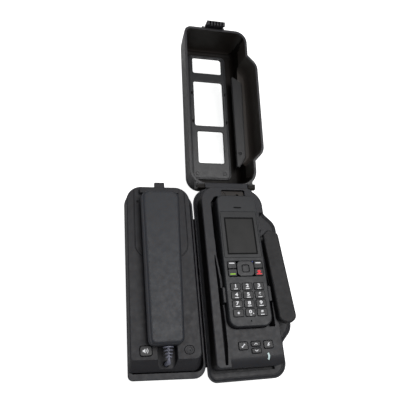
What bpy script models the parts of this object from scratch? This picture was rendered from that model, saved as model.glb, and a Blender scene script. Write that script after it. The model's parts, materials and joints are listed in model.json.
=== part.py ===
"""Marine satellite phone station: a lidded dock with a satellite phone, beside a corded call handset.

Lengths below are in millimetres, and MM turns them into Blender's metres. The origin is on the underside of
the mounting plate. +Z points away from the plate and +Y runs from the front lip to the lid's hinge. The lid
is drawn closed, in place over the dock, and its axis empty then turns it to the open rest position.
"""

import math

import bmesh
import bpy
from mathutils import Matrix, Vector

MM = 0.001
GAP = 0.3
ARC_STEP_DEG = 22.5

# Dock and lid outline, seen from above
DOCK_LEFT = -4.0
DOCK_RIGHT = 94.5
DOCK_FRONT = -128.0
DOCK_BACK = 121.0
BULGE_RIGHT = 109.0
BULGE_FRONT = -72.5
BULGE_BACK = 69.0
BULGE_RUN = 15.0
BULGE_CORNER = 20.0

# Mounting plate
PLATE_LOW = (-84.0, -106.0)
PLATE_HIGH = (88.0, 100.0)
PLATE_SCREWS_X = (-74.0, 78.0)
PLATE_SCREWS_Y = (-96.0, 90.0)

# Heights
PLATE_TOP = 3.0
RIM_TOP = 62.0
LID_RIM = 63.7
DECK_TOP = 61.2
CRADLE_TOP = 84.0
POCKET_FLOOR = 63.5
COVER_TOP = 80.0

# Front end of the cradle's raised block, and the slope down to it
BLOCK_FRONT = -114.5
SLOPE_START = -103.4
SLOPE_DROP = 5.6
CLIP_HEIGHT = 23.0

# Lid hinge and latch
HINGE_Y = 125.8
HINGE_Z = 59.5
LID_OPEN_DEG = 170.0
LID_BACK = HINGE_Y - 3.0
LID_FRONT = HINGE_Y - 253.0
LID_DEPTH = 55.0
BARREL_RADIUS = 4.4
PIN_RADIUS = 1.6
BORE_RADIUS = 1.8
BARREL_LEFT = 15.0
BARREL_RIGHT = 76.0
LUG_HALF = 4.0
LUG_SPANS = (("left", 3.6, 13.8), ("right", 77.2, 87.4))
LATCH_LEFT = 29.5
LATCH_RIGHT = 57.0
LATCH_Y = HINGE_Y - 256.8
LATCH_Z = LID_RIM + 9.5
EAR_WIDTH = 3.3
EARS_LEFT = (("left", 25.7), ("right", 57.5))

# Satellite phone
PHONE_X = 46.0
PHONE_Y = 13.0
PHONE_WIDTH = 53.0
PHONE_LENGTH = 168.6
PHONE_REAR = 64.2
PHONE_SPLIT = 78.8
PHONE_FACE = 93.0
SCREEN = (46.0, 41.2, 37.0, 46.8)
KEY_WIDTH = 12.5
KEY_HEIGHT = 8.6
KEY_PITCH_X = 14.8
KEY_PITCH_Y = 10.4
KEY_ROW_Y = -23.9
NAV_X = 46.8
NAV_Y = -1.7
KEY_PROUD = 0.8

# Antenna paddle and its pivot, which runs along X
ANTENNA_PIVOT = (74.3, 38.0, 87.5)
ANTENNA_HALF = 5.5

# Call handset unit
UNIT_LEFT = -95.5
UNIT_RIGHT = -5.5
UNIT_FRONT = -121.0
UNIT_BACK = 115.0
HANDSET_BOTTOM = 80.5
HANDSET_SPLIT = 86.6
HANDSET_TOP = 98.2
RECEIVER = (-53.5, 76.0)
CORD_X = -52.5
CORD_Y = -103.6
CORD_RADIUS = 2.6
CORD_END_Z = 14.0
RELIEF_Z = 85.6
RELIEF_START = -86.9
RELIEF_RIBS = 4
RIB_PITCH = 3.45
RIB_WIDTH = 1.5
RIB_RADIUS = 6.0
RIB_SHRINK = 0.75
NECK_RADIUS = 1.6

BLACK = ("charcoal", (0.022, 0.024, 0.027), 0.55, 0.0)
DARK = ("black", (0.008, 0.008, 0.009), 0.5, 0.0)
GLOSS = ("gloss_black", (0.01, 0.01, 0.011), 0.15, 0.0)
RUBBER = ("rubber", (0.012, 0.012, 0.013), 0.8, 0.0)
KEYS = ("keys", (0.03, 0.031, 0.034), 0.45, 0.0)
STEEL = ("steel", (0.55, 0.55, 0.55), 0.3, 1.0)
BOARD = ("board", (0.01, 0.07, 0.03), 0.5, 0.0)
CLEAR = ("clear", (0.9, 0.95, 0.95), 0.05, 0.0)
LIGHT = ("light", (0.35, 0.75, 0.8), 0.3, 0.0)
CORD = ("cord", (0.05, 0.06, 0.08), 0.5, 0.0)


def material(look):
    """The shared material for a (name, colour, roughness, metallic) look."""
    name, colour, roughness, metallic = look
    made = bpy.data.materials.get(name) or bpy.data.materials.new(name)
    made.use_nodes = True
    shader = made.node_tree.nodes["Principled BSDF"]
    shader.inputs["Base Color"].default_value = (*colour, 1.0)
    shader.inputs["Roughness"].default_value = roughness
    shader.inputs["Metallic"].default_value = metallic
    return made


def solid(name, mesh, look, at=(0, 0, 0)):
    """The object that holds this bmesh, which is in millimetres, placed at a point in millimetres."""
    bmesh.ops.scale(mesh, vec=(MM, MM, MM), verts=mesh.verts)
    bmesh.ops.recalc_face_normals(mesh, faces=mesh.faces)
    data = bpy.data.meshes.new(name)
    mesh.to_mesh(data)
    mesh.free()
    data.shade_smooth()
    data.set_sharp_from_angle(angle=math.radians(35))
    data.materials.append(material(look))
    made = bpy.data.objects.new(name, data)
    made.location = Vector(at) * MM
    bpy.context.scene.collection.objects.link(made)
    return made


def rounded(corners):
    """An anticlockwise outline through (x, y, radius) corners, each one an arc."""
    outline = []
    for index, (x, y, radius) in enumerate(corners):
        corner = Vector((x, y))
        before = (Vector(corners[index - 1][:2]) - corner).normalized()
        after = (Vector(corners[(index + 1) % len(corners)][:2]) - corner).normalized()
        half = before.angle(after) / 2
        centre = corner + (before + after).normalized() * radius / math.sin(half)
        spoke = corner + before * radius / math.tan(half) - centre
        turn = 1 if before.cross(after) < 0 else -1
        sweep = math.pi - 2 * half
        steps = max(1, round(math.degrees(sweep) / ARC_STEP_DEG))
        for step in range(steps + 1):
            point = centre + Matrix.Rotation(turn * sweep * step / steps, 2) @ spoke
            outline.append((point.x, point.y))
    return outline


def inset(corners, distance):
    """The same corners moved inwards, with their arcs kept concentric."""
    moved = []
    for index, (x, y, radius) in enumerate(corners):
        corner = Vector((x, y))
        along = (corner - Vector(corners[index - 1][:2])).normalized()
        onward = (Vector(corners[(index + 1) % len(corners)][:2]) - corner).normalized()
        first = Vector((-along.y, along.x))
        second = Vector((-onward.y, onward.x))
        corner += (first + second) * distance / (1 + first.dot(second))
        bend = 1 if along.cross(onward) > 0 else -1
        moved.append((corner.x, corner.y, max(radius - bend * distance, 0.3)))
    return moved


def box_corners(width, height, radius, centre=(0, 0)):
    x, y = centre
    return [
        (x - width / 2, y - height / 2, radius),
        (x + width / 2, y - height / 2, radius),
        (x + width / 2, y + height / 2, radius),
        (x - width / 2, y + height / 2, radius),
    ]


def span_corners(low, high, radius):
    """A rounded rectangle between two opposite (x, y) corners."""
    centre = ((low[0] + high[0]) / 2, (low[1] + high[1]) / 2)
    return box_corners(high[0] - low[0], high[1] - low[1], radius, centre)


def add_loft(mesh, sections):
    """Joins (corners, height) sections, lowest first, into one closed shape."""
    rings = []
    for corners, height in sections:
        rings.append([mesh.verts.new((x, y, height)) for x, y in rounded(corners)])
    mesh.faces.new(reversed(rings[0]))
    mesh.faces.new(rings[-1])
    for low, high in zip(rings, rings[1:]):
        for index in range(len(low)):
            after = (index + 1) % len(low)
            mesh.faces.new((low[index], low[after], high[after], high[index]))


def loft(name, sections, look, at=(0, 0, 0)):
    mesh = bmesh.new()
    add_loft(mesh, sections)
    return solid(name, mesh, look, at)


def stepped(corners, steps):
    """Loft sections from one outline and its (height, inset) steps."""
    return [(inset(corners, distance), height) for height, distance in steps]


def block(name, corners, low, high, look, edge=0.0, at=(0, 0, 0)):
    """An upright prism. With an edge, its top is chamfered by that much."""
    steps = [(low, 0), (high - edge, 0), (high, edge)] if edge else [(low, 0), (high, 0)]
    return loft(name, stepped(corners, steps), look, at)


def frame_ring(name, corners, outer, inner, low, high, look):
    """A closed ring of rectangular section that follows an outline between two insets."""
    mesh = bmesh.new()
    loops = []
    for distance, height in ((outer, low), (outer, high), (inner, high), (inner, low)):
        outline = rounded(inset(corners, distance))
        loops.append([mesh.verts.new((x, y, height)) for x, y in outline])
    for row, line in enumerate(loops):
        beside = loops[(row + 1) % len(loops)]
        for index in range(len(line)):
            after = (index + 1) % len(line)
            mesh.faces.new((line[index], line[after], beside[after], beside[index]))
    return solid(name, mesh, look)


def rod(name, start, end, radius, look, sides=16):
    """A round bar between two points."""
    start, end = Vector(start), Vector(end)
    mesh = bmesh.new()
    length = (end - start).length
    bmesh.ops.create_cone(
        mesh, cap_ends=True, segments=sides, radius1=radius, radius2=radius, depth=length
    )
    turn = (end - start).to_track_quat("Z", "Y")
    bmesh.ops.rotate(mesh, cent=(0, 0, 0), matrix=turn.to_matrix(), verts=mesh.verts)
    return solid(name, mesh, look, (start + end) / 2)


def side_prism(name, outline, left, right, look):
    """A prism along X with a (y, z) outline."""
    mesh = bmesh.new()
    near = [mesh.verts.new((left, y, z)) for y, z in outline]
    far = [mesh.verts.new((right, y, z)) for y, z in outline]
    mesh.faces.new(near)
    mesh.faces.new(reversed(far))
    for index in range(len(near)):
        after = (index + 1) % len(near)
        mesh.faces.new((near[index], far[index], far[after], near[after]))
    return solid(name, mesh, look)


def combine(target, other, operation="DIFFERENCE"):
    """Cuts the other shape from the target, or joins it on, and hides it."""
    modifier = target.modifiers.new(other.name, "BOOLEAN")
    modifier.operation = operation
    modifier.object = other
    other.hide_render = True
    other.display_type = "WIRE"
    return target


def cut(target, corners, low, high):
    cutter = block(target.name + "_cutter", corners, low, high, DARK)
    return combine(target, cutter)


def cut_many(target, outlines, low, high):
    """Cuts several separate upright prisms at once."""
    mesh = bmesh.new()
    for corners in outlines:
        add_loft(mesh, stepped(corners, [(low, 0), (high, 0)]))
    return combine(target, solid(target.name + "_cutter", mesh, DARK))


def axis_empty(name, point, turn_x_deg=0.0):
    """An empty on a joint's axis, turned about X."""
    empty = bpy.data.objects.new(name, None)
    empty.location = Vector(point) * MM
    empty.rotation_euler = (math.radians(turn_x_deg), 0, 0)
    bpy.context.scene.collection.objects.link(empty)
    return empty


def hang(objects, empty, point):
    """Carries objects drawn in place on the empty at this point, so that they turn with it."""
    for made in objects:
        made.location -= Vector(point) * MM
        made.parent = empty


def dock_outline(front=DOCK_FRONT, back=DOCK_BACK):
    return [
        (DOCK_LEFT, front, 11),
        (DOCK_RIGHT, front, 18),
        (DOCK_RIGHT, BULGE_FRONT - BULGE_RUN, 6),
        (BULGE_RIGHT, BULGE_FRONT, BULGE_CORNER),
        (BULGE_RIGHT, BULGE_BACK, BULGE_CORNER),
        (DOCK_RIGHT, BULGE_BACK + BULGE_RUN, 6),
        (DOCK_RIGHT, back, 24),
        (DOCK_LEFT, back, 24),
    ]


def bulge_outline():
    """The side bulge as a trapezoid that runs well into the main outline."""
    reach = BULGE_RIGHT - 64
    slope = BULGE_RUN / (BULGE_RIGHT - DOCK_RIGHT)
    front, back = BULGE_FRONT - reach * slope, BULGE_BACK + reach * slope
    return [
        (64, front, 2),
        (BULGE_RIGHT, BULGE_FRONT, BULGE_CORNER),
        (BULGE_RIGHT, BULGE_BACK, BULGE_CORNER),
        (64, back, 2),
    ]


def main_outline(front, back):
    return [
        (DOCK_LEFT, front, 14),
        (DOCK_RIGHT, front, 18),
        (DOCK_RIGHT, back, 24),
        (DOCK_LEFT, back, 24),
    ]


def paddle_outline():
    return [
        (82.0, -64.6, 7),
        (94.7, -70.6, 10),
        (104.6, -64.0, 8),
        (97.2, 44.8, 7),
        (84.9, 50.5, 6),
        (76.1, 42.9, 4),
    ]


def phone_outline():
    left, right = PHONE_X - PHONE_WIDTH / 2, PHONE_X + PHONE_WIDTH / 2
    front, back = PHONE_Y - PHONE_LENGTH / 2, PHONE_Y + PHONE_LENGTH / 2
    return [(left, front, 11), (right, front, 11), (right, back, 9), (left, back, 9)]


def make_plate():
    plate = block("mounting_plate", span_corners(PLATE_LOW, PLATE_HIGH, 8), 0, PLATE_TOP, STEEL)
    holes = [box_corners(5, 5, 2.4, (x, y)) for x in PLATE_SCREWS_X for y in PLATE_SCREWS_Y]
    cut_many(plate, holes, -1, PLATE_TOP + 1)


def hinge_rod(name, left, right, radius, look, sides=16):
    """A round bar along the lid's hinge line."""
    return rod(name, (left, HINGE_Y, HINGE_Z), (right, HINGE_Y, HINGE_Z), radius, look, sides)


def make_dock_tray():
    outline = dock_outline()
    steps = [(PLATE_TOP + GAP, 17), (12, 13), (40, 5), (RIM_TOP - 1, 0), (RIM_TOP, 0.8)]
    tray = loft("dock_tray", stepped(outline, steps), BLACK)
    hollow = [(6.5, 20), (14, 16.5), (40, 9.5), (RIM_TOP + 1, 4.6)]
    combine(tray, loft("dock_tray_hollow", stepped(outline, hollow), DARK))
    web_back = DOCK_BACK - 3.5
    barrel_web = [(web_back, 52), (HINGE_Y, HINGE_Z - BARREL_RADIUS), (HINGE_Y, 60.5), (web_back, 60.5)]
    combine(tray, side_prism("barrel_web", barrel_web, BARREL_LEFT, BARREL_RIGHT, BLACK), "UNION")
    combine(tray, frame_ring("dock_seal_groove", outline, 1.6, 3.6, 59, RIM_TOP + 1, DARK))
    combine(tray, hinge_rod("hinge_barrel", BARREL_LEFT, BARREL_RIGHT, BARREL_RADIUS, BLACK), "UNION")
    combine(tray, hinge_rod("barrel_bore", BARREL_LEFT - 1, BARREL_RIGHT + 1, BORE_RADIUS, DARK))
    latch_recess = [(-130, 51), (-124.4, 51), (-124.4, 57.3), (-130, 57.3)]
    combine(tray, side_prism("latch_recess", latch_recess, LATCH_LEFT - 1.5, LATCH_RIGHT + 1.5, DARK))
    frame_ring("dock_seal", outline, 1.9, 3.3, 59.3, RIM_TOP + 1.4, RUBBER)
    hinge_rod("hinge_pin", 3, 88, PIN_RADIUS, STEEL)


def dock_key_places():
    """Name, centre and size of each key on the dock's face."""
    return [
        ("dock_key_left", (35.4, -91.2), (11.2, 8.8)),
        ("dock_key_up", (50.9, -89.7), (11.5, 5.6)),
        ("dock_key_down", (50.9, -97.4), (11.5, 5.6)),
        ("dock_key_right", (66.4, -91.2), (11.2, 8.8)),
    ]


def front_slope():
    """The wedge above the sloping front end of the cradle's face."""
    front, low, high = BLOCK_FRONT - 2, CRADLE_TOP - SLOPE_DROP, CRADLE_TOP + 4
    outline = [(front, low), (SLOPE_START, CRADLE_TOP), (SLOPE_START, high), (front, high)]
    return side_prism("front_slope", outline, 19, 90, DARK)


def spring_arm_gaps():
    """The openings on each side of the phone that leave a thin spring arm beside it."""
    left_groove = [
        (18.4, -21, 0.2),
        (22.0, -21, 1),
        (22.0, 41, 0.3),
        (14.4, 41, 0.3),
        (14.4, 18, 2),
        (16.6, 0, 6),
        (18.3, -11, 3),
    ]
    left_opening = [(13.9, 40, 0.5), (24, 40, 0.5), (24, 100, 0.8), (19, 98.5, 3), (13.9, 90, 4)]
    right_groove = [(70, -71, 1), (78.6, -71, 1), (78.6, -23, 2), (74.6, 30, 4), (74.6, 88, 1), (70, 93, 1)]
    return [left_groove, left_opening, right_groove]


def arm_slot():
    """The long slot on the far side of the left spring arm."""
    return [
        (12.1, -111, 1),
        (17.0, -111, 1),
        (16.9, -64, 3),
        (15.9, -40, 3),
        (15.4, -12, 6),
        (13.4, 10, 6),
        (12.3, 22, 0.3),
        (11.4, 12, 3),
        (12.2, -20, 3),
    ]


def make_dock_cradle():
    deck = stepped(dock_outline(), [(52, 7.4), (DECK_TOP, 5.2)])
    cradle = loft("dock_cradle", deck, BLACK)
    raised = [
        (1.6, BLOCK_FRONT, 6),
        (85, BLOCK_FRONT, 6),
        (85, 92, 10),
        (70, 113, 12),
        (1.6, 113, 19.5),
    ]
    steps = [(DECK_TOP - 1.2, 0), (CRADLE_TOP - 1.6, 0), (CRADLE_TOP, 1.6)]
    combine(cradle, loft("cradle_block", stepped(raised, steps), BLACK), "UNION")
    cut(cradle, span_corners((2.2, BLOCK_FRONT - 3), (84.4, BLOCK_FRONT), 0.8), 56, DECK_TOP + 1)
    combine(cradle, front_slope())
    cut(cradle, span_corners((6, -108), (80, 104), 6), 49, POCKET_FLOOR - 3)
    pocket = inset(phone_outline(), -0.9)
    cut(cradle, pocket, POCKET_FLOOR, 90)
    cut(cradle, arm_slot(), 72, 90)
    for gap in spring_arm_gaps():
        cut(cradle, gap, 66, 90)
    clip_room = [span_corners((left, -42.5), (left + 8.4, -22.5), 0.5) for left in (11.8, 72.2)]
    cut_many(cradle, clip_room, 65.5, 91)
    cut(cradle, span_corners((30, 96), (62, 109), 2), 70, 90)
    cut(cradle, span_corners((78.4, 44), (88, 77), 1.5), DECK_TOP + 0.4, 90)
    cut(cradle, inset(paddle_outline(), -0.8), ANTENNA_PIVOT[2] - ANTENNA_HALF - 0.6, 95)
    x, y, z = ANTENNA_PIVOT
    combine(cradle, rod("paddle_sweep", (75.6, y, z), (100, y, z), 14.6, DARK, 24))
    cut(cradle, span_corners((71, y - 5.2), (77, y + 5.2), 1), z - 5.4, 95)
    key_holes = [box_corners(w + 0.7, h + 0.7, 1.6, place) for _, place, (w, h) in dock_key_places()]
    key_holes.append(box_corners(3.0, 8.8, 1.2, (65.4, -104.4)))
    cut_many(cradle, key_holes, 73.8, 90)


def make_dock_controls():
    for name, (x, y), (width, height) in dock_key_places():
        block(name, box_corners(width, height, 1.4), 0, 9.6, KEYS, 0.6, (x, y, 75.2))
    light = block("status_light", box_corners(2.3, 8.0, 1.0, (65.4, -104.4)), 75.3, 86, LIGHT)
    combine(light, front_slope())
    cap = span_corners((60, -112), (70, -96), 0.5)
    cut(light, cap, CRADLE_TOP + 0.2, 90)
    for name, low, high in (("clip_left", 16.2, 19.1), ("clip_right", 72.9, 77.6)):
        pivot = ((low + high) / 2, -32.5, 67.5)
        section = box_corners(high - low, 18.6, 0.8)
        block(name, section, 0, CLIP_HEIGHT, BLACK, 0.8, pivot)
    block("dock_board", span_corners((14, -70), (72, 86), 3), 52.5, 54.1, BOARD)
    block("connector_block", span_corners((37, 98.9), (55, 107), 1.5), 70.4, 80, DARK, 0.6)


def lid_windows():
    """The three openings above the screen, the number keys and the dock's keys, as (x, y) spans."""
    return [
        ((22.4, HINGE_Y - 105.4), (63.2, HINGE_Y - 53.4)),
        ((19.2, HINGE_Y - 190.0), (66.0, HINGE_Y - 114.6)),
        ((19.0, HINGE_Y - 231.5), (66.0, HINGE_Y - 205.0)),
    ]


def lug_outline():
    """A hinge lug's (y, z) outline: a bevelled square around the hinge line, with its web to the lid."""
    edge, bevel = LUG_HALF, LUG_HALF - 1.3
    square = [(-edge, -bevel), (-bevel, -edge), (bevel, -edge), (edge, -bevel), (edge, bevel), (bevel, edge)]
    web = [(2, edge), (2, 14), (-14, 14), (-14, 4.6), (-3.7, 4.6), (-3.7, 3), (-edge, bevel)]
    return [(HINGE_Y + y, HINGE_Z + z) for y, z in square + web]


def make_lid():
    """Every lid piece is drawn closed and then turned about the hinge with its empty."""
    main = main_outline(LID_FRONT, LID_BACK)
    whole = bulge_outline()
    rim = LID_RIM
    outer = [(rim, 0), (rim + 30, 1.6), (rim + 47, 3.6), (rim + 53, 6.5), (rim + LID_DEPTH, 10.5)]
    side = [(rim, 0), (rim + 26, 1.4), (rim + 36, 3.4), (rim + 40, 7)]
    inner = [(rim - 1, 3.6), (rim + 21, 4.2), (rim + 46, 6.6), (rim + 50.5, 9.5), (rim + 52.5, 13)]
    side_inner = [(rim - 1, 3.6), (rim + 26, 4.2), (rim + 34, 6.4), (rim + 37.4, 9.6)]
    lid = loft("lid_shell", stepped(main, outer), BLACK)
    combine(lid, loft("lid_bulge", stepped(whole, side), BLACK), "UNION")
    for tag, left, right in LUG_SPANS:
        combine(lid, side_prism("lug_" + tag, lug_outline(), left, right, BLACK), "UNION")
    combine(lid, loft("lid_hollow", stepped(main, inner), DARK))
    combine(lid, loft("lid_bulge_hollow", stepped(whole, side_inner), DARK))
    combine(lid, hinge_rod("lug_bore", 2, 89, BORE_RADIUS, DARK))
    ear_back, ear_front = LID_FRONT + 3, LATCH_Y - 3
    ear = [(ear_back, rim + 4), (ear_front, rim + 6), (ear_front, rim + 13), (ear_back, rim + 15)]
    for tag, left in EARS_LEFT:
        combine(lid, side_prism("latch_ear_" + tag, ear, left, left + EAR_WIDTH, BLACK), "UNION")
    latch_line = (LATCH_Y, LATCH_Z)
    combine(lid, rod("ear_bore", (25, *latch_line), (62, *latch_line), BORE_RADIUS - 0.3, DARK, 12))
    openings = [inset(span_corners(low, high, 4), -1.6) for low, high in lid_windows()]
    cut_many(lid, openings, rim + 52, rim + 56)

    panel_span = span_corners((11, HINGE_Y - 236), (73, HINGE_Y - 27), 8)
    panel = block("lid_window_panel", panel_span, rim + 49.6, rim + 52.1, GLOSS)
    cut_many(panel, [span_corners(low, high, 3) for low, high in lid_windows()], rim + 49, rim + 53)
    panes = []
    for name, (low, high) in zip(("pane_screen", "pane_keypad", "pane_dock_keys"), lid_windows()):
        panes.append(block(name, inset(span_corners(low, high, 4), -1.2), rim + 52.5, rim + 54.3, CLEAR))
    pad_corners = [
        (77.2, HINGE_Y - 196, 3),
        (94.8, HINGE_Y - 184, 6),
        (92.8, HINGE_Y - 60, 6),
        (88.0, HINGE_Y - 50, 5),
        (77.4, HINGE_Y - 37, 3),
    ]
    pad = block("lid_pad", pad_corners, rim + 34.2, rim + 37.0, BLACK)
    pin = rod("latch_pin", (25.1, *latch_line), (61.4, *latch_line), PIN_RADIUS - 0.3, STEEL, 12)

    latch_outline = [
        (LATCH_Y - 2.4, LATCH_Z + 4),
        (LATCH_Y - 1.6, 53),
        (LATCH_Y - 0.8, 51.8),
        (-125.4, 52.6),
        (-125.4, 55.4),
        (LATCH_Y + 2.2, 56.4),
        (LATCH_Y + 2.2, LATCH_Z + 3),
        (LATCH_Y + 0.8, LATCH_Z + 4.6),
    ]
    latch = side_prism("lid_latch", latch_outline, LATCH_LEFT, LATCH_RIGHT, BLACK)
    combine(latch, rod("latch_bore", (29, *latch_line), (58, *latch_line), BORE_RADIUS - 0.3, DARK, 12))

    hinge = (0, HINGE_Y, HINGE_Z)
    cutters = [step.object for piece in (lid, panel, latch) for step in piece.modifiers]
    lid_axis = axis_empty("lid_axis", hinge, -LID_OPEN_DEG)
    hang([lid, panel, pad, pin, latch, *panes, *cutters], lid_axis, hinge)


def phone_keys():
    """Name, centre and size of each key on the phone except the four-way ring."""
    places = []
    names = ("1", "2", "3", "4", "5", "6", "7", "8", "9", "star", "0", "hash")
    for index, name in enumerate(names):
        row, column = divmod(index, 3)
        centre = (PHONE_X + (column - 1) * KEY_PITCH_X, KEY_ROW_Y - row * KEY_PITCH_Y)
        places.append(("key_" + name, centre, (KEY_WIDTH, KEY_HEIGHT)))
    for side, x in (("left", 29.7), ("right", 63.6)):
        places.append(("soft_key_" + side, (x, 3.1), (10.8, 8.8)))
    places.append(("call_key", (29.7, -6.5), (10.8, 8.8)))
    places.append(("end_key", (63.6, -6.5), (10.8, 8.8)))
    return places


def make_phone():
    outline = phone_outline()
    face = PHONE_FACE
    front_steps = [(PHONE_SPLIT, 0), (face - 1.6, 0), (face - 0.5, 0.8), (face, 2.2)]
    front = loft("phone_front", stepped(outline, front_steps), BLACK)
    cut(front, inset(outline, 2.2), PHONE_SPLIT - 1, face - 2.6)
    x, y, width, height = SCREEN
    cut(front, box_corners(width + 0.6, height + 0.6, 0.6, (x, y)), face - 3, face + 1)
    cut(front, span_corners((21.9, 12.3), (70.1, 74.1), 1.5), face - 1.2, face + 1)
    number_keys = phone_keys()[:12]
    holes = [box_corners(w + 0.6, h + 0.6, 1.6, centre) for _, centre, (w, h) in number_keys]
    holes.append(span_corners((23.9, -11.6), (69.4, 8.2), 2.5))
    holes.append(box_corners(10, 1.8, 0.7, (PHONE_X, 79.6)))
    holes.append(box_corners(1.4, 1.4, 0.6, (PHONE_X, -64.8)))
    cut_many(front, holes, face - 3, face + 1)

    rear_steps = [(PHONE_REAR, 5), (65.6, 2.4), (68.5, 0.7), (72, 0), (PHONE_SPLIT - GAP, 0)]
    rear = loft("phone_rear", stepped(outline, rear_steps), BLACK)
    cut(rear, inset(outline, 3.4), 67, PHONE_SPLIT + 1)
    block("phone_window", span_corners((22.2, 12.6), (69.8, 73.8), 1.3), face - 0.9, face + 0.1, GLOSS)
    block("phone_display", box_corners(width, height, 0.5, (x, y)), face - 4.4, face - 1.4, DARK)
    block("phone_board", span_corners((25, -60), (67, 86), 4), 80.2, 81.6, BOARD)
    block("phone_battery", span_corners((26, -46), (66, 26), 2), 67.6, 77.6, DARK)
    for name, (kx, ky), (kw, kh) in phone_keys():
        block(name, box_corners(kw, kh, 1.4), 0, 7.0 + KEY_PROUD, KEYS, 0.5, (kx, ky, face - 7))
    ring = block("nav_ring", box_corners(22, 19.2, 5.5), 0, 7.9, KEYS, 0.7, (NAV_X, NAV_Y, face - 7))
    hole = block("nav_ring_cutter", box_corners(9.4, 9.4, 2), -1, 9, DARK, 0, (NAV_X, NAV_Y, face - 7))
    combine(ring, hole)
    block("select_key", box_corners(8.6, 8.6, 1.8), 0, 7.7, KEYS, 0.5, (NAV_X, NAV_Y, face - 7))


def make_antenna():
    x, y, z = ANTENNA_PIVOT
    steps = [
        (z - ANTENNA_HALF, 2),
        (z - ANTENNA_HALF + 1.6, 0.4),
        (z, 0),
        (z + ANTENNA_HALF - 1.6, 0.4),
        (z + ANTENNA_HALF, 2),
    ]
    paddle = loft("antenna_paddle", stepped(paddle_outline(), steps), BLACK)
    hang([paddle], axis_empty("antenna_axis", ANTENNA_PIVOT), ANTENNA_PIVOT)
    rod("antenna_pivot", (PHONE_X + PHONE_WIDTH / 2 + GAP, y, z), (x + 1.3, y, z), 4.2, DARK, 20)


def unit_outline(front=UNIT_FRONT, widen=0.0):
    """The housing's outline, whose front edge runs slightly askew."""
    right = UNIT_RIGHT + widen
    return [
        (UNIT_LEFT, front + 2.4, 6),
        (right, front - 0.9, 14),
        (right, UNIT_BACK, 21),
        (UNIT_LEFT, UNIT_BACK, 21),
    ]


def make_handset_unit():
    outline = unit_outline()
    steps = [(PLATE_TOP + GAP, 9), (12, 6.3), (40, 2.4), (RIM_TOP - 1, 0), (RIM_TOP, 0.9)]
    base = loft("unit_base", stepped(outline, steps), BLACK)
    inner_steps = [(6, 13.5), (12, 10.5), (40, 6.6), (RIM_TOP + 1, 4)]
    hollow = stepped(unit_outline(UNIT_FRONT + 3, 1.8), inner_steps)
    combine(base, loft("unit_base_hollow", hollow, DARK))

    low = [(-94.9, -110.2, 4), (-11.5, -113.2, 10), (-11.5, 114.3, 20), (-94.9, 114.3, 20)]
    high = [(-94.0, -99.4, 4), (-13.0, -102.4, 8), (-13.0, 113.0, 19), (-94.0, 113.0, 19)]
    foot = [(low, RIM_TOP + GAP), (low, RIM_TOP + 2)]
    cover = loft("unit_cover", foot + stepped(high, [(COVER_TOP - 1.2, 0), (COVER_TOP, 1.2)]), BLACK)
    cut(cover, span_corners((-90, -76), (-16.5, 109), 16), RIM_TOP - 1, COVER_TOP - 3)
    tongue = [(-85.5, 16.8, 18), (-19.6, 16.8, 18), (-19.6, 125, 2), (-85.5, 125, 2)]
    combine(cover, frame_ring("tongue_groove", tongue, 0, 1.2, COVER_TOP - 1, COVER_TOP + 1, DARK))
    cut(cover, span_corners((-63.2, -110.6), (-41.4, -78), 10.5), 68, 90)
    key_hole = box_corners(14.2, 11.7, 3, (-76.6, -89.4))
    mic_hole = box_corners(12.0, 10.0, 4.9, (-27.4, -91.1))
    cut_many(cover, [key_hole, mic_hole], 70.8, 90)
    cut(cover, box_corners(7, 7, 3.4, (CORD_X, CORD_Y)), 60, 70)
    cut(cover, box_corners(6.8, 6.8, 3.3, (CORD_X, 40)), 74, 84)

    block("speaker_key", box_corners(13.5, 11, 2.6), 0, 8.6, KEYS, 0.6, (-76.6, -89.4, 72.3))
    port = box_corners(11.4, 9.4, 4.6, (-27.4, -91.1))
    block("microphone_port", port, 72.3, COVER_TOP + 0.2, DARK, 0.6)
    stop = block("end_stop", span_corners((-77.8, 101.5), (-27.3, 109.5), 2), COVER_TOP + GAP, 86, BLACK, 0.8)
    tab_span = span_corners((-58.7, 104), (-45.8, 117), 1)
    tab = block("end_stop_tab", tab_span, COVER_TOP + GAP + 0.5, 84.5, BLACK)
    combine(stop, tab, "UNION")
    block("hook_plunger", box_corners(6, 6, 2.9), 0, 14, DARK, 0.6, (CORD_X, 40, 66.2))
    rod("ringer", (-50, -20, 8), (-50, -20, 22), 20, DARK, 24)


def make_handset():
    outline = [(-75.0, -86.3, 8), (-34.4, -86.3, 8), (-29.0, 100.5, 10), (-78.0, 100.5, 10)]
    top = HANDSET_TOP
    back_steps = [(HANDSET_SPLIT + GAP, 0), (top - 4.2, 0.3), (top - 1.3, 1.7), (top, 4.4)]
    back = loft("handset_back", stepped(outline, back_steps), BLACK)
    cut(back, inset(outline, 3), HANDSET_SPLIT - 1, top - 3)
    front_steps = [(HANDSET_BOTTOM, 3.5), (HANDSET_BOTTOM + 2, 0.8), (HANDSET_SPLIT, 0)]
    front = loft("handset_front", stepped(outline, front_steps), BLACK)
    cut(front, box_corners(23, 23, 11.4, RECEIVER), HANDSET_BOTTOM + 2.5, 90)
    block("handset_receiver", box_corners(22, 22, 10.9, RECEIVER), HANDSET_BOTTOM + 2.8, 90, DARK)
    make_cord()


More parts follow.
